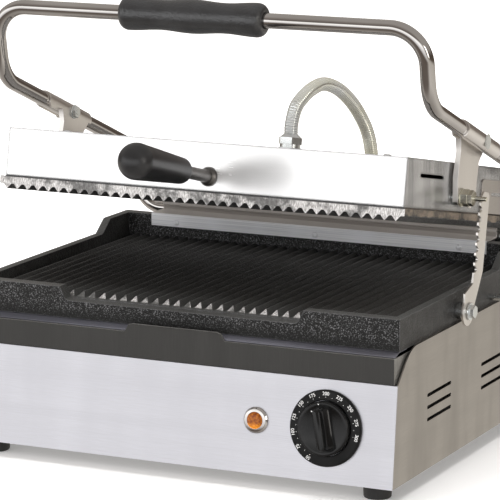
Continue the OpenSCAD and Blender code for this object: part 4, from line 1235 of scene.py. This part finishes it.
@dataclass
class Knob:
    """The thermostat's knob: a round base, a tapered grip bar with hollow flanks, and two dots."""

    foot: tuple[tuple[float, float], ...] = (
        (0.0, -0.012), (0.003, -0.012), (0.003, 0.0005), (0.0221, 0.0005), (0.0225, 0.0009), (0.0225, 0.0062),
    )
    top: tuple[tuple[float, float], ...] = ((0.0195, 0.0080), (0.0188, 0.0077), (0.0, 0.0077))
    rim: Triple = (0.0209, 0.0064, 0.0016)  # its middle's radius and height, and its own radius
    turned: float = 12.0  # how far the bar is turned, in degrees
    bar_from: float = 7.4  # the bar's own sizes are in mm
    bar_height: float = 9.6
    half_width: float = 3.1  # near the top
    flare: float = 4.6  # how much wider it is at the bottom
    hollow: float = 1.9  # how hollow its flanks are
    half_length: float = 14.6
    taper: float = 1.2  # how much shorter it is at the top
    nose: float = 3.6  # how far its round ends stand out
    crown: float = 0.94  # the share of the height where the rounded top starts
    crown_length: float = 13.45
    crown_in: tuple[float, float] = (0.6, 0.5)  # how much narrower and shorter the crown gets
    dots: tuple[Triple, ...] = ((103.0, 0.0203, 0.0080), (128.0, 0.0170, 0.0078))

    def build(self, place: Matrix) -> None:
        """Makes the knob and its dots.

        Args:
            place: the frame on the front panel at the thermostat.
        """
        middle, height, round_by = self.rim
        turn = [math.pi / 16 * k for k in range(1, 9)]
        rim = [(middle + round_by * math.cos(a), height + round_by * math.sin(a)) for a in turn]
        base = lathe("thermostat_knob", [*self.foot, *rim, *self.top], place, KNOB_BLACK, sides=128, smooth=34.0)
        for piece in (base, self.bar(place)):
            mount(piece, Body.KNOB, "control_knob")
        self.marks(place)

    def bar(self, place: Matrix, levels: int = 14, steps: int = 12) -> bpy.types.Object:
        """Makes the grip bar from outlines that get smaller on the way up.

        Args:
            place: the frame on the front panel at the thermostat.
            levels: how many bands it has.
            steps: how many faces go round one end.

        Returns:
            The new object.
        """
        bm = bmesh.new()
        spot = place @ Matrix.Rotation(math.radians(self.turned), 4, "Z")
        turn = [math.pi * j / steps for j in range(steps + 1)]
        rings = []
        for k in range(levels + 1):
            rise = k / levels
            wide, reach = self.half_sizes(rise)
            end = [(wide * math.cos(a), reach + self.nose * math.sin(a)) for a in turn]
            outline = end + [(-x, -y) for x, y in end]
            level = self.bar_from + self.bar_height * rise
            rings.append([bm.verts.new(spot @ (MM * Vector((x, y, level)))) for x, y in outline])
        join_rings(bm, rings, closed=True)
        return from_bmesh("knob_bar", bm, KNOB_BLACK, smooth=50.0)

    def half_sizes(self, rise: float) -> tuple[float, float]:
        """Works out how large the bar is at one height.

        Args:
            rise: the height, as a share of the bar's own.

        Returns:
            Half its width and half its length in mm, without the round ends.
        """
        if rise < self.crown:
            return self.half_width + self.flare * (1 - rise) ** self.hollow, self.half_length - self.taper * rise
        share = (rise - self.crown) / (1 - self.crown)
        narrower, shorter = self.crown_in
        return self.half_width - narrower * share, self.crown_length - shorter * share

    def marks(self, place: Matrix) -> None:
        """Makes the knob's white index dots.

        Args:
            place: the frame on the front panel at the thermostat.
        """
        bm = bmesh.new()
        for degrees, radius, height in self.dots:
            a = math.radians(degrees)
            spot = place @ Matrix.Translation((radius * math.cos(a), radius * math.sin(a), height))
            bmesh.ops.create_cone(
                bm, cap_ends=True, segments=16, radius1=0.0006, radius2=0.0005, depth=0.0002, matrix=spot
            )
        mount(from_bmesh("knob_dots", bm, PRINT), Body.KNOB)


@dataclass
class Controls:
    """The thermostat's printed ring and its knob, and the pilot lamp."""

    tick_radius: float = 0.0253
    tick_length: float = 0.0012
    tick_width: float = 0.00045
    number_radius: float = 0.0284
    number_height: float = 0.0040
    mark_height: float = 0.00345
    mark_thickness: float = 0.0001
    first_angle: float = 242.0
    last_angle: float = -10.0
    lowest: int = 50
    highest: int = 300
    step: int = 25

    def build(self, layout: Layout) -> None:
        """Makes the ring, its marks, the knob and the lamp.

        Args:
            layout: where the thermostat is.
        """
        place = layout.panel()
        refine("dial_ring", "scale_ring", DIAL_BLACK, Body.BASE, FINE_EDGE)
        refine("lamp_bezel", "lamp_rim", CHROME, Body.BASE, FINE_EDGE)
        refine("lamp_lens", "lamp_amber", AMBER, Body.BASE, FINE_EDGE)
        self.ticks(place)
        self.numbers(place)
        Knob().build(place)

    def ticks(self, place: Matrix) -> None:
        """Makes the ring's printed ticks.

        Args:
            place: the frame on the front panel at the thermostat.
        """
        host = new_object("tick_host", bpy.data.meshes.new("tick_host"))
        marks = marks_on_arc().run(
            host, "scale_ticks", PRINT, CRISP_SMALL, Count=2 * (self.highest - self.lowest) // self.step + 1,
            Radius=self.tick_radius, Length=self.tick_length, Width=self.tick_width, Thickness=self.mark_thickness,
            First=math.radians(self.last_angle), Sweep=math.radians(self.first_angle - self.last_angle),
        )
        marks.data.transform(place @ Matrix.Translation((0, 0, self.mark_height)))
        mount(marks, Body.BASE)

    def numbers(self, place: Matrix) -> None:
        """Makes the ring's printed numbers as one flat mesh.

        Args:
            place: the frame on the front panel at the thermostat.
        """
        bm = bmesh.new()
        count = (self.highest - self.lowest) // self.step
        for k in range(count + 1):
            angle = math.radians(self.first_angle + (self.last_angle - self.first_angle) * k / count)
            mesh = self.number(str(self.lowest + k * self.step))
            spot = (self.number_radius * math.cos(angle), self.number_radius * math.sin(angle), self.mark_height)
            mesh.transform(place @ Matrix.Translation(spot) @ Matrix.Rotation(angle - math.pi / 2, 4, "Z"))
            bm.from_mesh(mesh)
            bpy.data.meshes.remove(mesh)
        mount(from_bmesh("scale_numbers", bm, PRINT), Body.BASE)

    def number(self, digits: str) -> bpy.types.Mesh:
        """Makes one number, centred and lying flat.

        Args:
            digits: what it says.

        Returns:
            Its mesh.
        """
        text = bpy.data.curves.new("number", "FONT")
        text.body = digits
        text.size = self.number_height
        text.align_x = text.align_y = "CENTER"
        text.extrude = self.mark_thickness / 2
        text.offset = self.mark_thickness / 10
        return take_mesh(link(bpy.data.objects.new("number", text)))


@dataclass
class ArmFrame:
    """The bent tube with its grip, brackets and pivot bolts."""

    half_width: float = 0.1975
    rise: float = 0.0525
    slope: float = math.radians(21.6)
    length: float = 0.2743
    riser: float = 0.0644
    riser_slope: float = math.radians(79.8)
    radius: float = 0.00635
    bends: tuple[float, ...] = (0.024, 0.026, 0.036, 0.030)
    inner_end: float = 0.146
    grip_length: float = 0.131
    grip_radius: float = 0.01425
    grip_middle: float = -0.009
    grip_cap: float = 0.007
    wave_depth: float = 0.0008
    waves: int = 2
    # The brackets' own sizes are in mm, the wrap in degrees.
    saddle: tuple[float, ...] = (118.1, 123.1, 180.0, 199.0)
    wrap: tuple[float, float] = (-62.0, 180.0)
    wrap_steps: int = 36
    drop: float = -2.7
    lip: float = -6.2
    lip_in: float = 3.0
    leg: tuple[tuple[float, float], ...] = ((-1, 40), (-7.5, 18), (-7.5, -3), (21, -13), (33, -9), (35, 6), (40, 24))
    flange: float = 4.0  # on the leg's front edge
    flange_corners: int = 3  # the leg's corners that it runs along
    wall: float = 1.5
    wall_out: float = 0.8  # from the tube's skin to the middle of the wall
    bolt_out: float = 1.57  # from the tube's skin to a bolt's washer
    bolt_at: float = 153.07
    head: tuple[tuple[float, float, int], ...] = ((6.6, 0.12, 0), (5.4, 0.18, 6))
    nut: tuple[tuple[float, float, int], ...] = ((6.3, 0.8, 0), (5.6, 2.8, 6), (2.6, 0.35, 0))

    def build(self, layout: Layout) -> None:
        """Makes the tube, the grip, the brackets and the bolts.

        Args:
            layout: where the hinge and the pivot are.
        """
        corners = self.corners(layout)
        self.tube(corners)
        self.grip(corners[4])
        for side, node in ((-1, "arm_bracket_left"), (1, "arm_bracket_right")):
            self.bracket(layout, side, node)
        self.bolts(layout)
        refine("pivot_bolt_left", "pivot_pin_left", YELLOW_ZINC, Body.ARMS, FINE_EDGE)
        refine("pivot_bolt_right", "pivot_pin_right", YELLOW_ZINC, Body.ARMS, FINE_EDGE)
        refine("pivot_spacers", "pivot_sleeves", ZINC, Body.ARMS)
        refine("pivot_nuts", "pivot_lock_nuts", YELLOW_ZINC, Body.ARMS, TURNED_EDGE)

    def corners(self, layout: Layout) -> list[Vector]:
        """Works out the corners of the tube's line.

        Args:
            layout: where the hinge is.

        Returns:
            The corners from the right hinge end to the left one.
        """
        x, hinge = self.half_width, layout.hinge
        rear = Vector((x, hinge.y, hinge.z + self.rise))
        front = rear + self.length * Vector((0, -math.cos(self.slope), math.sin(self.slope)))
        top = front + self.riser * Vector((0, -math.cos(self.riser_slope), math.sin(self.riser_slope)))
        half = [Vector((self.inner_end, hinge.y, hinge.z)), Vector((x, hinge.y, hinge.z)), rear, front, top]
        return half + [Vector((-p.x, p.y, p.z)) for p in reversed(half)]

    def tube(self, corners: list[Vector]) -> None:
        """Makes the bent tube.

        Args:
            corners: the corners of its line.
        """
        path = poly_curve("tube_path", bend_points(corners, [*self.bends, *reversed(self.bends)]))
        piece = rippled_tube().run(
            path, "handle_bar", CHROME, CRISP, Radius=self.radius, Depth=0.0, Pitch=1.0, Step=0.0016, Sides=48
        )
        mount(piece, Body.ARMS, "handle_tube")

    def along(self, layout: Layout, side: int) -> Matrix:
        """Works out a frame on one arm's line.

        Args:
            layout: where the hinge is.
            side: -1 for the left arm and 1 for the right one.

        Returns:
            The frame: X outwards, Y towards the front, Z out of the arm's top.
        """
        rear = Vector((side * self.half_width, layout.hinge.y, layout.hinge.z + self.rise))
        turn = Matrix.Rotation(math.pi - self.slope, 4, "X")
        return Matrix.Translation(rear) @ turn @ Matrix.Diagonal((side, 1, -1, 1))

    def bracket(self, layout: Layout, side: int, node: str) -> None:
        """Folds one bracket: round the tube from below, down its inside, and a leg with a flange in front.

        Args:
            layout: where the pivot is.
            side: -1 for the left arm and 1 for the right one.
            node: the CAD node that it stands for.
        """
        arm, middle = self.along(layout, side), self.radius + self.wall_out * MM
        bm = bmesh.new()

        def spot(x: float, y: float, z: float) -> bmesh.types.BMVert:
            """Adds a vertex beside the arm's line, y in mm along it."""
            return bm.verts.new(arm @ Vector((x, y * MM, z)))

        first, last = self.wrap
        turn = [math.radians(first + (last - first) * k / self.wrap_steps) for k in range(self.wrap_steps + 1)]
        rows = [[spot(middle * math.cos(a), y, middle * math.sin(a)) for a in turn] for y in self.saddle]
        for row, y in zip(rows, self.saddle):
            row.append(spot(-middle, y, self.drop * MM))
        for near, far in zip(rows, rows[1:]):
            for k in range(len(near) - 1):
                bm.faces.new((near[k], near[k + 1], far[k + 1], far[k]))
        start, end = self.saddle[2] + self.lip_in, self.saddle[3] - self.lip_in
        lip = [spot(-middle, y, self.lip * MM) for y in (start, end)]
        bm.faces.new((rows[2][-1], lip[0], lip[1], rows[3][-1]))
        plane, pivot = side * (self.half_width - middle), layout.pivot
        leg = [bm.verts.new((plane, pivot.y + y * MM, pivot.z + z * MM)) for y, z in self.leg]
        bm.faces.new((rows[2][-1], *leg, rows[1][-1]))
        edge = [rows[2][-1], *leg[: self.flange_corners]]
        inner = [bm.verts.new(v.co - Vector((side * self.flange * MM, 0, 0))) for v in edge]
        for k in range(len(edge) - 1):
            bm.faces.new((edge[k], edge[k + 1], inner[k + 1], inner[k]))
        bmesh.ops.recalc_face_normals(bm, faces=bm.faces)
        obj = new_object(node + "_sheet", mesh_from(bm, node))
        thicken(obj, self.wall * MM, 0.0, even=True)
        round_edges(obj, FINE_EDGE, 2, CRISP, "MITER_SHARP")
        mesh = flat_faces_flat(take_mesh(obj))
        mount(new_object(node.replace("arm_", ""), paint(mesh, BRACKET_STEEL)), Body.ARMS, node)

    def bolts(self, layout: Layout) -> None:
        """Makes the bolts that hold the saddles, with their washers and nuts.

        Args:
            layout: where the arms are.
        """
        bm = bmesh.new()
        out = self.radius + self.bolt_out * MM
        for side in (-1, 1):
            spot = self.along(layout, side) @ Matrix.Translation((0, self.bolt_at * MM, 0))
            for way, layers in ((1, self.head), (-1, self.nut)):
                outwards = Matrix.Translation((way * out, 0, 0)) @ Matrix.Rotation(way * math.pi / 2, 4, "Y")
                stack(bm, spot @ outwards, layers)
        mount(from_bmesh("bracket_bolt_heads", bm, ZINC, CRISP_SMALL), Body.ARMS, "bracket_bolts")

    def grip(self, corner: Vector, count: int = 120, cap_steps: int = 8) -> None:
        """Makes the moulded grip with its finger waves.

        Args:
            corner: a corner of the tube's line at the grip's height.
            count: how many bands the waves have.
            cap_steps: how many bands each rounded end has.
        """
        end, cap = self.grip_length, self.grip_cap
        start = Matrix.Translation((self.grip_middle - end / 2, corner.y, corner.z))
        place = start @ Matrix.Rotation(math.pi / 2, 4, "Y")
        profile = [(self.radius + 0.0001, 0.001), (self.radius + 0.0006, 0.0)]
        for k in range(cap_steps + 1):
            a = math.pi / 2 * k / cap_steps
            profile.append((self.wave(0.0) - cap * 0.75 * (1 - math.sin(a)), cap * (1 - math.cos(a))))
        first_end = list(reversed(profile))
        profile += [(self.wave(k / count), cap + k / count * (end - 2 * cap)) for k in range(1, count)]
        profile += [(radius, end - height) for radius, height in first_end]
        mount(lathe("handle_grip_moulding", profile, place, GRIP_BLACK), Body.ARMS, "handle_grip")

    def wave(self, t: float) -> float:
        """Gives the grip's radius at a share of its length."""
        return self.grip_radius - self.wave_depth * (1 - math.cos(2 * math.pi * self.waves * t))


@dataclass
class UpperHousing:
    """The tilting housing with its ribbed plate, rear cover and screws."""

    height: float = 0.0407
    screw_x: float = 0.150
    screw_y: tuple[float, ...] = (0.040, 0.205)

    def build(self, layout: Layout) -> None:
        """Makes the housing's pieces.

        Args:
            layout: where the housing's own frame is.
        """
        refine("upper_casing", "head_shell", HEAD_STEEL, Body.HEAD, SHELL_EDGE, 3)
        refine("upper_rear_cover", "head_rear_cover", COVER_STEEL, Body.HEAD, PANEL_EDGE, 3)
        refine("upper_plate", "head_casting", HEAD_IRON, Body.HEAD, TURNED_EDGE)
        dress(["plate_posts"], ZINC)
        dress(["upper_element_clamp"], GALVANISED)
        dress(["upper_heating_element"], ELEMENT)
        self.screws(layout.head())

    def screws(self, place: Matrix) -> None:
        """Sets the pan-head screws on top of the housing.

        Args:
            place: the housing's own frame.
        """
        up = (place.to_3x3() @ Vector((0, 0, 1))).normalized()
        xs = (-self.screw_x, self.screw_x)
        spots = [(place @ Vector((x, y, self.height)), up) for x in xs for y in self.screw_y]
        set_fasteners("head_screws", spots, ZINC, Body.HEAD, "casing_screws", 0.0040, 0.0018)


@dataclass
class FrontGrip:
    """The rod at the front of the upper housing with its ball grip."""

    root: tuple[float, float] = (0.008, 0.012)
    rise: float = math.radians(3.0)
    rod: float = 0.050
    rod_radius: float = 0.0049
    reach: float = 0.084
    root_radius: float = 0.011
    root_round: float = 0.006
    ball: float = 0.015

    def build(self, layout: Layout) -> None:
        """Makes the rod and the grip.

        Args:
            layout: where the housing's own frame is.
        """
        refine("front_rod", "front_rod_steel", ROD_STEEL, Body.HEAD)
        start = layout.head() @ Matrix.Translation((self.root[0], 0, self.root[1]))
        place = start @ Matrix.Rotation(math.pi / 2 - self.rise, 4, "X")
        mount(lathe("front_grip_moulding", self.profile(), place, BALL_BLACK), Body.HEAD, "front_grip")

    def profile(self, root_steps: int = 12, ball_steps: int = 48) -> list[tuple[float, float]]:
        """Works out the grip's profile: a rounded root, a slim cone and a ball.

        Args:
            root_steps: how many bands the rounded root has.
            ball_steps: how many bands the ball has.

        Returns:
            Pairs of radius and height along the rod.
        """
        by, centre = self.root_round, self.rod + self.reach
        lean = math.asin((self.ball - self.root_radius) / self.reach)
        profile = [(0.0, self.rod), (self.rod_radius, self.rod)]
        for k in range(root_steps + 1):
            a = math.pi / 2 * (k / root_steps - 1)
            profile.append((self.root_radius - by + by * math.cos(a), self.rod + by + by * math.sin(a)))
        for k in range(ball_steps):
            a = -lean + (math.pi / 2 + lean) * k / ball_steps
            profile.append((self.ball * math.cos(a), centre + self.ball * math.sin(a)))
        return [*profile, (0.0, centre + self.ball)]


@dataclass
class SupportBar:
    """The notched bar with its bolt, spacer and rest pin."""

    def build(self) -> None:
        """Makes the bar's pieces."""
        refine("support_bar", "notched_bar", BRACKET_STEEL, Body.BAR, FINE_EDGE)
        refine("bar_bolt", "bar_screw", ZINC, Body.BASE)
        refine("bar_spacer", "bar_sleeve", ZINC, Body.BASE, FINE_EDGE)
        refine("bar_rest_pin", "bar_stop", ZINC, Body.BASE)


@dataclass
class Conduit:
    """The corrugated metal hose between base and upper housing, and its glands."""

    radius: float = 0.00625
    depth: float = 0.0005
    pitch: float = 0.0022
    gland: float = 0.016
    shift: float = -0.155648
    root: tuple[float, float] = (0.005, 0.166)
    height: float = 0.0407
    middle: int = 6  # the point of the route where the two lengths meet
    steps: int = 16  # between two points of the route
    # The route's points are in mm.
    route: tuple[Triple, ...] = (
        (5, 231, 266), (6, 237, 279), (8, 247, 287), (10, 263, 293), (12, 284, 295), (15, 308, 288),
        (18, 331, 274), (20, 350, 257), (22, 362, 240), (23, 368, 222), (24, 369, 200), (24, 367, 178),
        (24, 365, 139),
    )

    def build(self, layout: Layout) -> None:
        """Makes the hose in two lengths.

        Args:
            layout: where the housing's own frame is.
        """
        refine("conduit_gland_base", "gland_base", ZINC, Body.BASE)
        refine("conduit_gland_top", "gland_top", ZINC, Body.HEAD)
        refine("inlet_gland", "gland_inlet", DIAL_BLACK, Body.BASE)
        line = self.line(layout)
        half = self.middle * self.steps
        upper = self.length("hose_upper", line[: half + 1])
        lower = self.length("hose_lower", line[half:])
        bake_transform(upper)
        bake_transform(lower)
        self.declare()
        self.declare()

    def line(self, layout: Layout) -> list[Vector]:
        """Runs a smooth line through the points of the route.

        Args:
            layout: where the housing's own frame is.

        Returns:
            The points of the hose's centre line, from the housing down to the base.
        """
        start = layout.head() @ Vector((self.root[0], self.root[1], self.height + self.gland))
        points = [start, *(Vector((x * MM, y * MM + self.shift, z * MM)) for x, y, z in self.route)]
        last = len(points) - 1
        line = []
        for i in range(last):
            a, b, c, d = (points[max(0, min(last, i + k))] for k in (-1, 0, 1, 2))
            slope, bend, twist = c - a, 2 * a - 5 * b + 4 * c - d, 3 * b - a - 3 * c + d
            for u in (k / self.steps for k in range(self.steps)):
                line.append(0.5 * (2 * b + slope * u + bend * u * u + twist * u**3))
        return [*line, points[-1]]

    def length(self, name: str, line: list[Vector]) -> bpy.types.Object:
        """Makes one length of corrugated hose.

        Args:
            name: the piece's name.
            line: the points of its centre line.

        Returns:
            The new object.
        """
        return rippled_tube().run(
            poly_curve(name + "_path", line), name, HOSE_METAL, smooth=80.0, Radius=self.radius, Depth=self.depth,
            Pitch=self.pitch, Step=self.pitch / 6, Sides=28,
        )

    def declare(self) -> None:
        """Hides the hose's CAD node.
        """
        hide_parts("conduit_hose")


def cross_head(radius: float, height: float, sides: int = 32, bands: int = 6) -> bpy.types.Object:
    """Makes one pan-head screw with a cross recess, at the origin with Z along its axis.

    Args:
        radius: the head's radius.
        height: the head's height.
        sides: how many faces go round.
        bands: how many bands its dome has.

    Returns:
        The new object.
    """
    bm = bmesh.new()
    turn = [math.pi / 2 * k / bands for k in range(bands + 1)]
    rings = [ring(bm, Matrix(), radius * math.cos(a * 0.8), height * math.sin(a), sides) for a in turn]
    join_rings(bm, rings, closed=True)
    head = new_object("cross_head", mesh_from(bm, "cross_head"))
    bm = bmesh.new()
    for wide, long in ((1.1, 0.24), (0.24, 1.1)):
        shape = Matrix.Diagonal((radius * wide, radius * long, height * 1.2, 1.0))
        bmesh.ops.create_cube(bm, size=1.0, matrix=Matrix.Translation((0, 0, height)) @ shape)
    cutter = new_object("cross_cutter", mesh_from(bm, "cross_cutter"))
    recess = head.modifiers.new("recess", "BOOLEAN")
    recess.operation, recess.solver, recess.use_self = "DIFFERENCE", "EXACT", True
    recess.object = cutter
    done = take_mesh(head)
    bpy.data.objects.remove(cutter)
    return new_object("cross_head", done)


def set_fasteners(
    name: str, places: Sequence[tuple[Vector, Vector]], finish: Finish, body: Body, node: str, radius: float,
    height: float,
) -> None:
    """Makes one piece of a cross-head screw at each place.

    Args:
        name: the new piece's name.
        places: each screw's foot and the direction that it looks in.
        finish: their finish.
        body: the body that they ride on.
        node: the CAD node that they replace.
        radius: the radius of a head.
        height: the height of a head.
    """
    head = cross_head(radius, height)
    points = point_cloud(name + "_points", places)
    piece = fasteners_on_points().run(points, name, finish, smooth=35.0, Fastener=head)
    bpy.data.objects.remove(head)
    mount(piece, body, node)


@dataclass
class HoodScrews:
    """The screws that hold the hood's front strip."""

    xs: tuple[float, ...] = (-0.140, 0.0, 0.140)

    def build(self) -> None:
        """Sets the screws on the strip."""
        low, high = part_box("cover_screws")
        level = (low.z + high.z) / 2
        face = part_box("hinge_cover")[0].y
        spots = [(Vector((x, face, level)), Vector((0, -1, 0))) for x in self.xs]
        set_fasteners("hood_screws", spots, HOOD_STEEL, Body.BASE, "cover_screws", 0.0028, 0.0009)


@dataclass(frozen=True)
class Light:
    """One soft rectangular light that looks at a point."""

    name: str
    spot: Triple
    size: tuple[float, float]
    power: float
    tint: Colour = (1.0, 1.0, 1.0)
    aim: Triple = (0.0, 0.0, 0.2)
    mirrored: bool = False  # whether it shows in reflections

    def build(self) -> None:
        """Makes the light."""
        data = bpy.data.lights.new(self.name, "AREA")
        data.shape = "RECTANGLE"
        data.size, data.size_y = self.size
        data.energy, data.color = self.power, self.tint
        obj = link(bpy.data.objects.new(self.name, data))
        obj.visible_glossy = self.mirrored
        aim_at(obj, self.spot, self.aim)


def aim_at(obj: bpy.types.Object, spot: Sequence[float], target: Sequence[float]) -> None:
    """Puts a camera or a light in its place.

    Args:
        obj: the camera or light.
        spot: where it stands.
        target: the point that it looks at.
    """
    obj.location = spot
    obj.rotation_mode = "QUATERNION"
    obj.rotation_quaternion = (Vector(target) - Vector(spot)).to_track_quat("-Z", "Y")


@dataclass
class Studio:
    """The camera, the floor and the soft light."""

    eye: Triple = (1.1275, -2.385048, 0.6827)
    target: Triple = (0.0737, -0.155648, 0.1996)
    lens: float = 223.75
    sensor: float = 36.0
    clip: tuple[float, float] = (0.1, 30.0)
    floor_size: float = 6.0
    bright_way: Triple = (-0.25, -0.97, 0.05)
    turning: tuple[float, float] = (0.25, 0.75)  # from the dark side to the bright one
    # Colours by height above the horizon, from -1 straight down to 1 straight up.
    bright_side: Stops = (
        (-1.0, (0.30, 0.27, 0.25)), (-0.32, (0.16, 0.13, 0.11)), (-0.19, (0.95, 0.94, 0.94)),
        (-0.04, (1.35, 1.34, 1.36)), (0.16, (1.9, 1.9, 1.9)), (0.30, (1.1, 1.1, 1.1)), (0.36, (0.16, 0.13, 0.11)),
        (1.0, (0.50, 0.47, 0.45)),
    )
    dark_side: Stops = (
        (-1.0, (0.40, 0.37, 0.34)), (-0.40, (0.80, 0.76, 0.71)), (-0.16, (0.72, 0.68, 0.62)),
        (-0.04, (0.14, 0.11, 0.09)), (0.12, (0.11, 0.085, 0.07)), (0.30, (0.45, 0.42, 0.39)),
        (0.6, (0.50, 0.47, 0.44)), (1.0, (0.50, 0.47, 0.45)),
    )
    lights: tuple[Light, ...] = (
        Light("key", (-1.5, -2.4, 1.5), (1.4, 1.2), 34.0),
        Light("overhead", (0.0, -0.1, 2.4), (1.6, 1.6), 46.0),
        Light("fill", (2.3, -0.9, 0.75), (0.5, 1.0), 7.0, (1.0, 0.96, 0.90), mirrored=True),
        Light("back", (0.3, 2.4, 1.3), (1.6, 0.8), 16.0),
    )

    def build(self) -> None:
        """Makes the whole studio."""
        self.camera()
        self.floor()
        self.world()
        for light in self.lights:
            light.build()
        bpy.context.scene.view_settings.view_transform = "Standard"

    def camera(self) -> None:
        """Makes the camera."""
        data = bpy.data.cameras.new("camera")
        data.lens, data.sensor_width = self.lens, self.sensor
        data.clip_start, data.clip_end = self.clip
        obj = link(bpy.data.objects.new("camera", data))
        aim_at(obj, self.eye, self.target)
        bpy.context.scene.camera = obj

    def floor(self) -> None:
        """Makes the pale floor."""
        bm = bmesh.new()
        bmesh.ops.create_grid(bm, x_segments=4, y_segments=4, size=self.floor_size)
        piece = from_bmesh("floor", bm, FLOOR)
        piece.visible_glossy = False

    def world(self) -> None:
        """Makes the surround: white to the eye, with a bright side and a brown dark side in reflections."""
        world = bpy.data.worlds.new("studio")
        world.use_nodes = True
        w = Wiring(world.node_tree)
        way = w.node("TexCoord").outputs["Generated"]
        height = w.node("SeparateXYZ", {0: way}).outputs["Z"]
        bright = Vector(self.bright_way).normalized()
        towards = w.node("VectorMath", {0: way, 1: bright}, operation="DOT_PRODUCT").outputs["Value"]
        low, high = self.turning
        sockets = {"Value": towards, "From Min": low, "From Max": high}
        share = w.node("MapRange", sockets, interpolation_type="SMOOTHSTEP").outputs[0]
        both = w.blend(share, self.ramp(w, self.dark_side, height), self.ramp(w, self.bright_side, height))
        felt = w.node("Background", {"Color": both}).outputs[0]
        seen = w.node("Background", {"Color": (1.0, 1.0, 1.0, 1.0)}).outputs[0]
        sight = w.node("LightPath").outputs["Is Camera Ray"]
        mixed = w.node("MixShader", {0: sight, 1: felt, 2: seen}).outputs[0]
        w.node("OutputWorld", {0: mixed})
        bpy.context.scene.world = world

    def ramp(self, w: Wiring, stops: Stops, height: Socket) -> Socket:
        """Makes a colour by height above the horizon.

        Args:
            w: the world's tree under construction.
            stops: the colours and their heights.
            height: the height, from -1 straight down to 1 straight up.

        Returns:
            The colour as an output socket.
        """
        made = w.node("ValToRGB", {0: w.range(height, -1.0, 1.0)})
        while len(made.color_ramp.elements) < len(stops):
            made.color_ramp.elements.new(0.5)
        for element, (at, tint) in zip(made.color_ramp.elements, stops):
            element.position = (at + 1.0) / 2.0
            element.color = (*tint, 1.0)
        return made.outputs[0]


def main() -> None:
    """Builds the press in order."""
    logging.basicConfig(level=logging.INFO, format="%(name)s: %(message)s")
    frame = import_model()
    layout = Layout.read(frame)
    Studio().build()
    Conduit().build(layout)
    for group in (BaseHousing(), Drawer(), Hinge(), HoodScrews(), SupportBar()):
        LOG.info("building %s", type(group).__name__)
        group.build()
    for placed in (Controls(), ArmFrame(), UpperHousing(), FrontGrip()):
        LOG.info("building %s", type(placed).__name__)
        placed.build(layout)


if __name__ == "__main__":
    main()
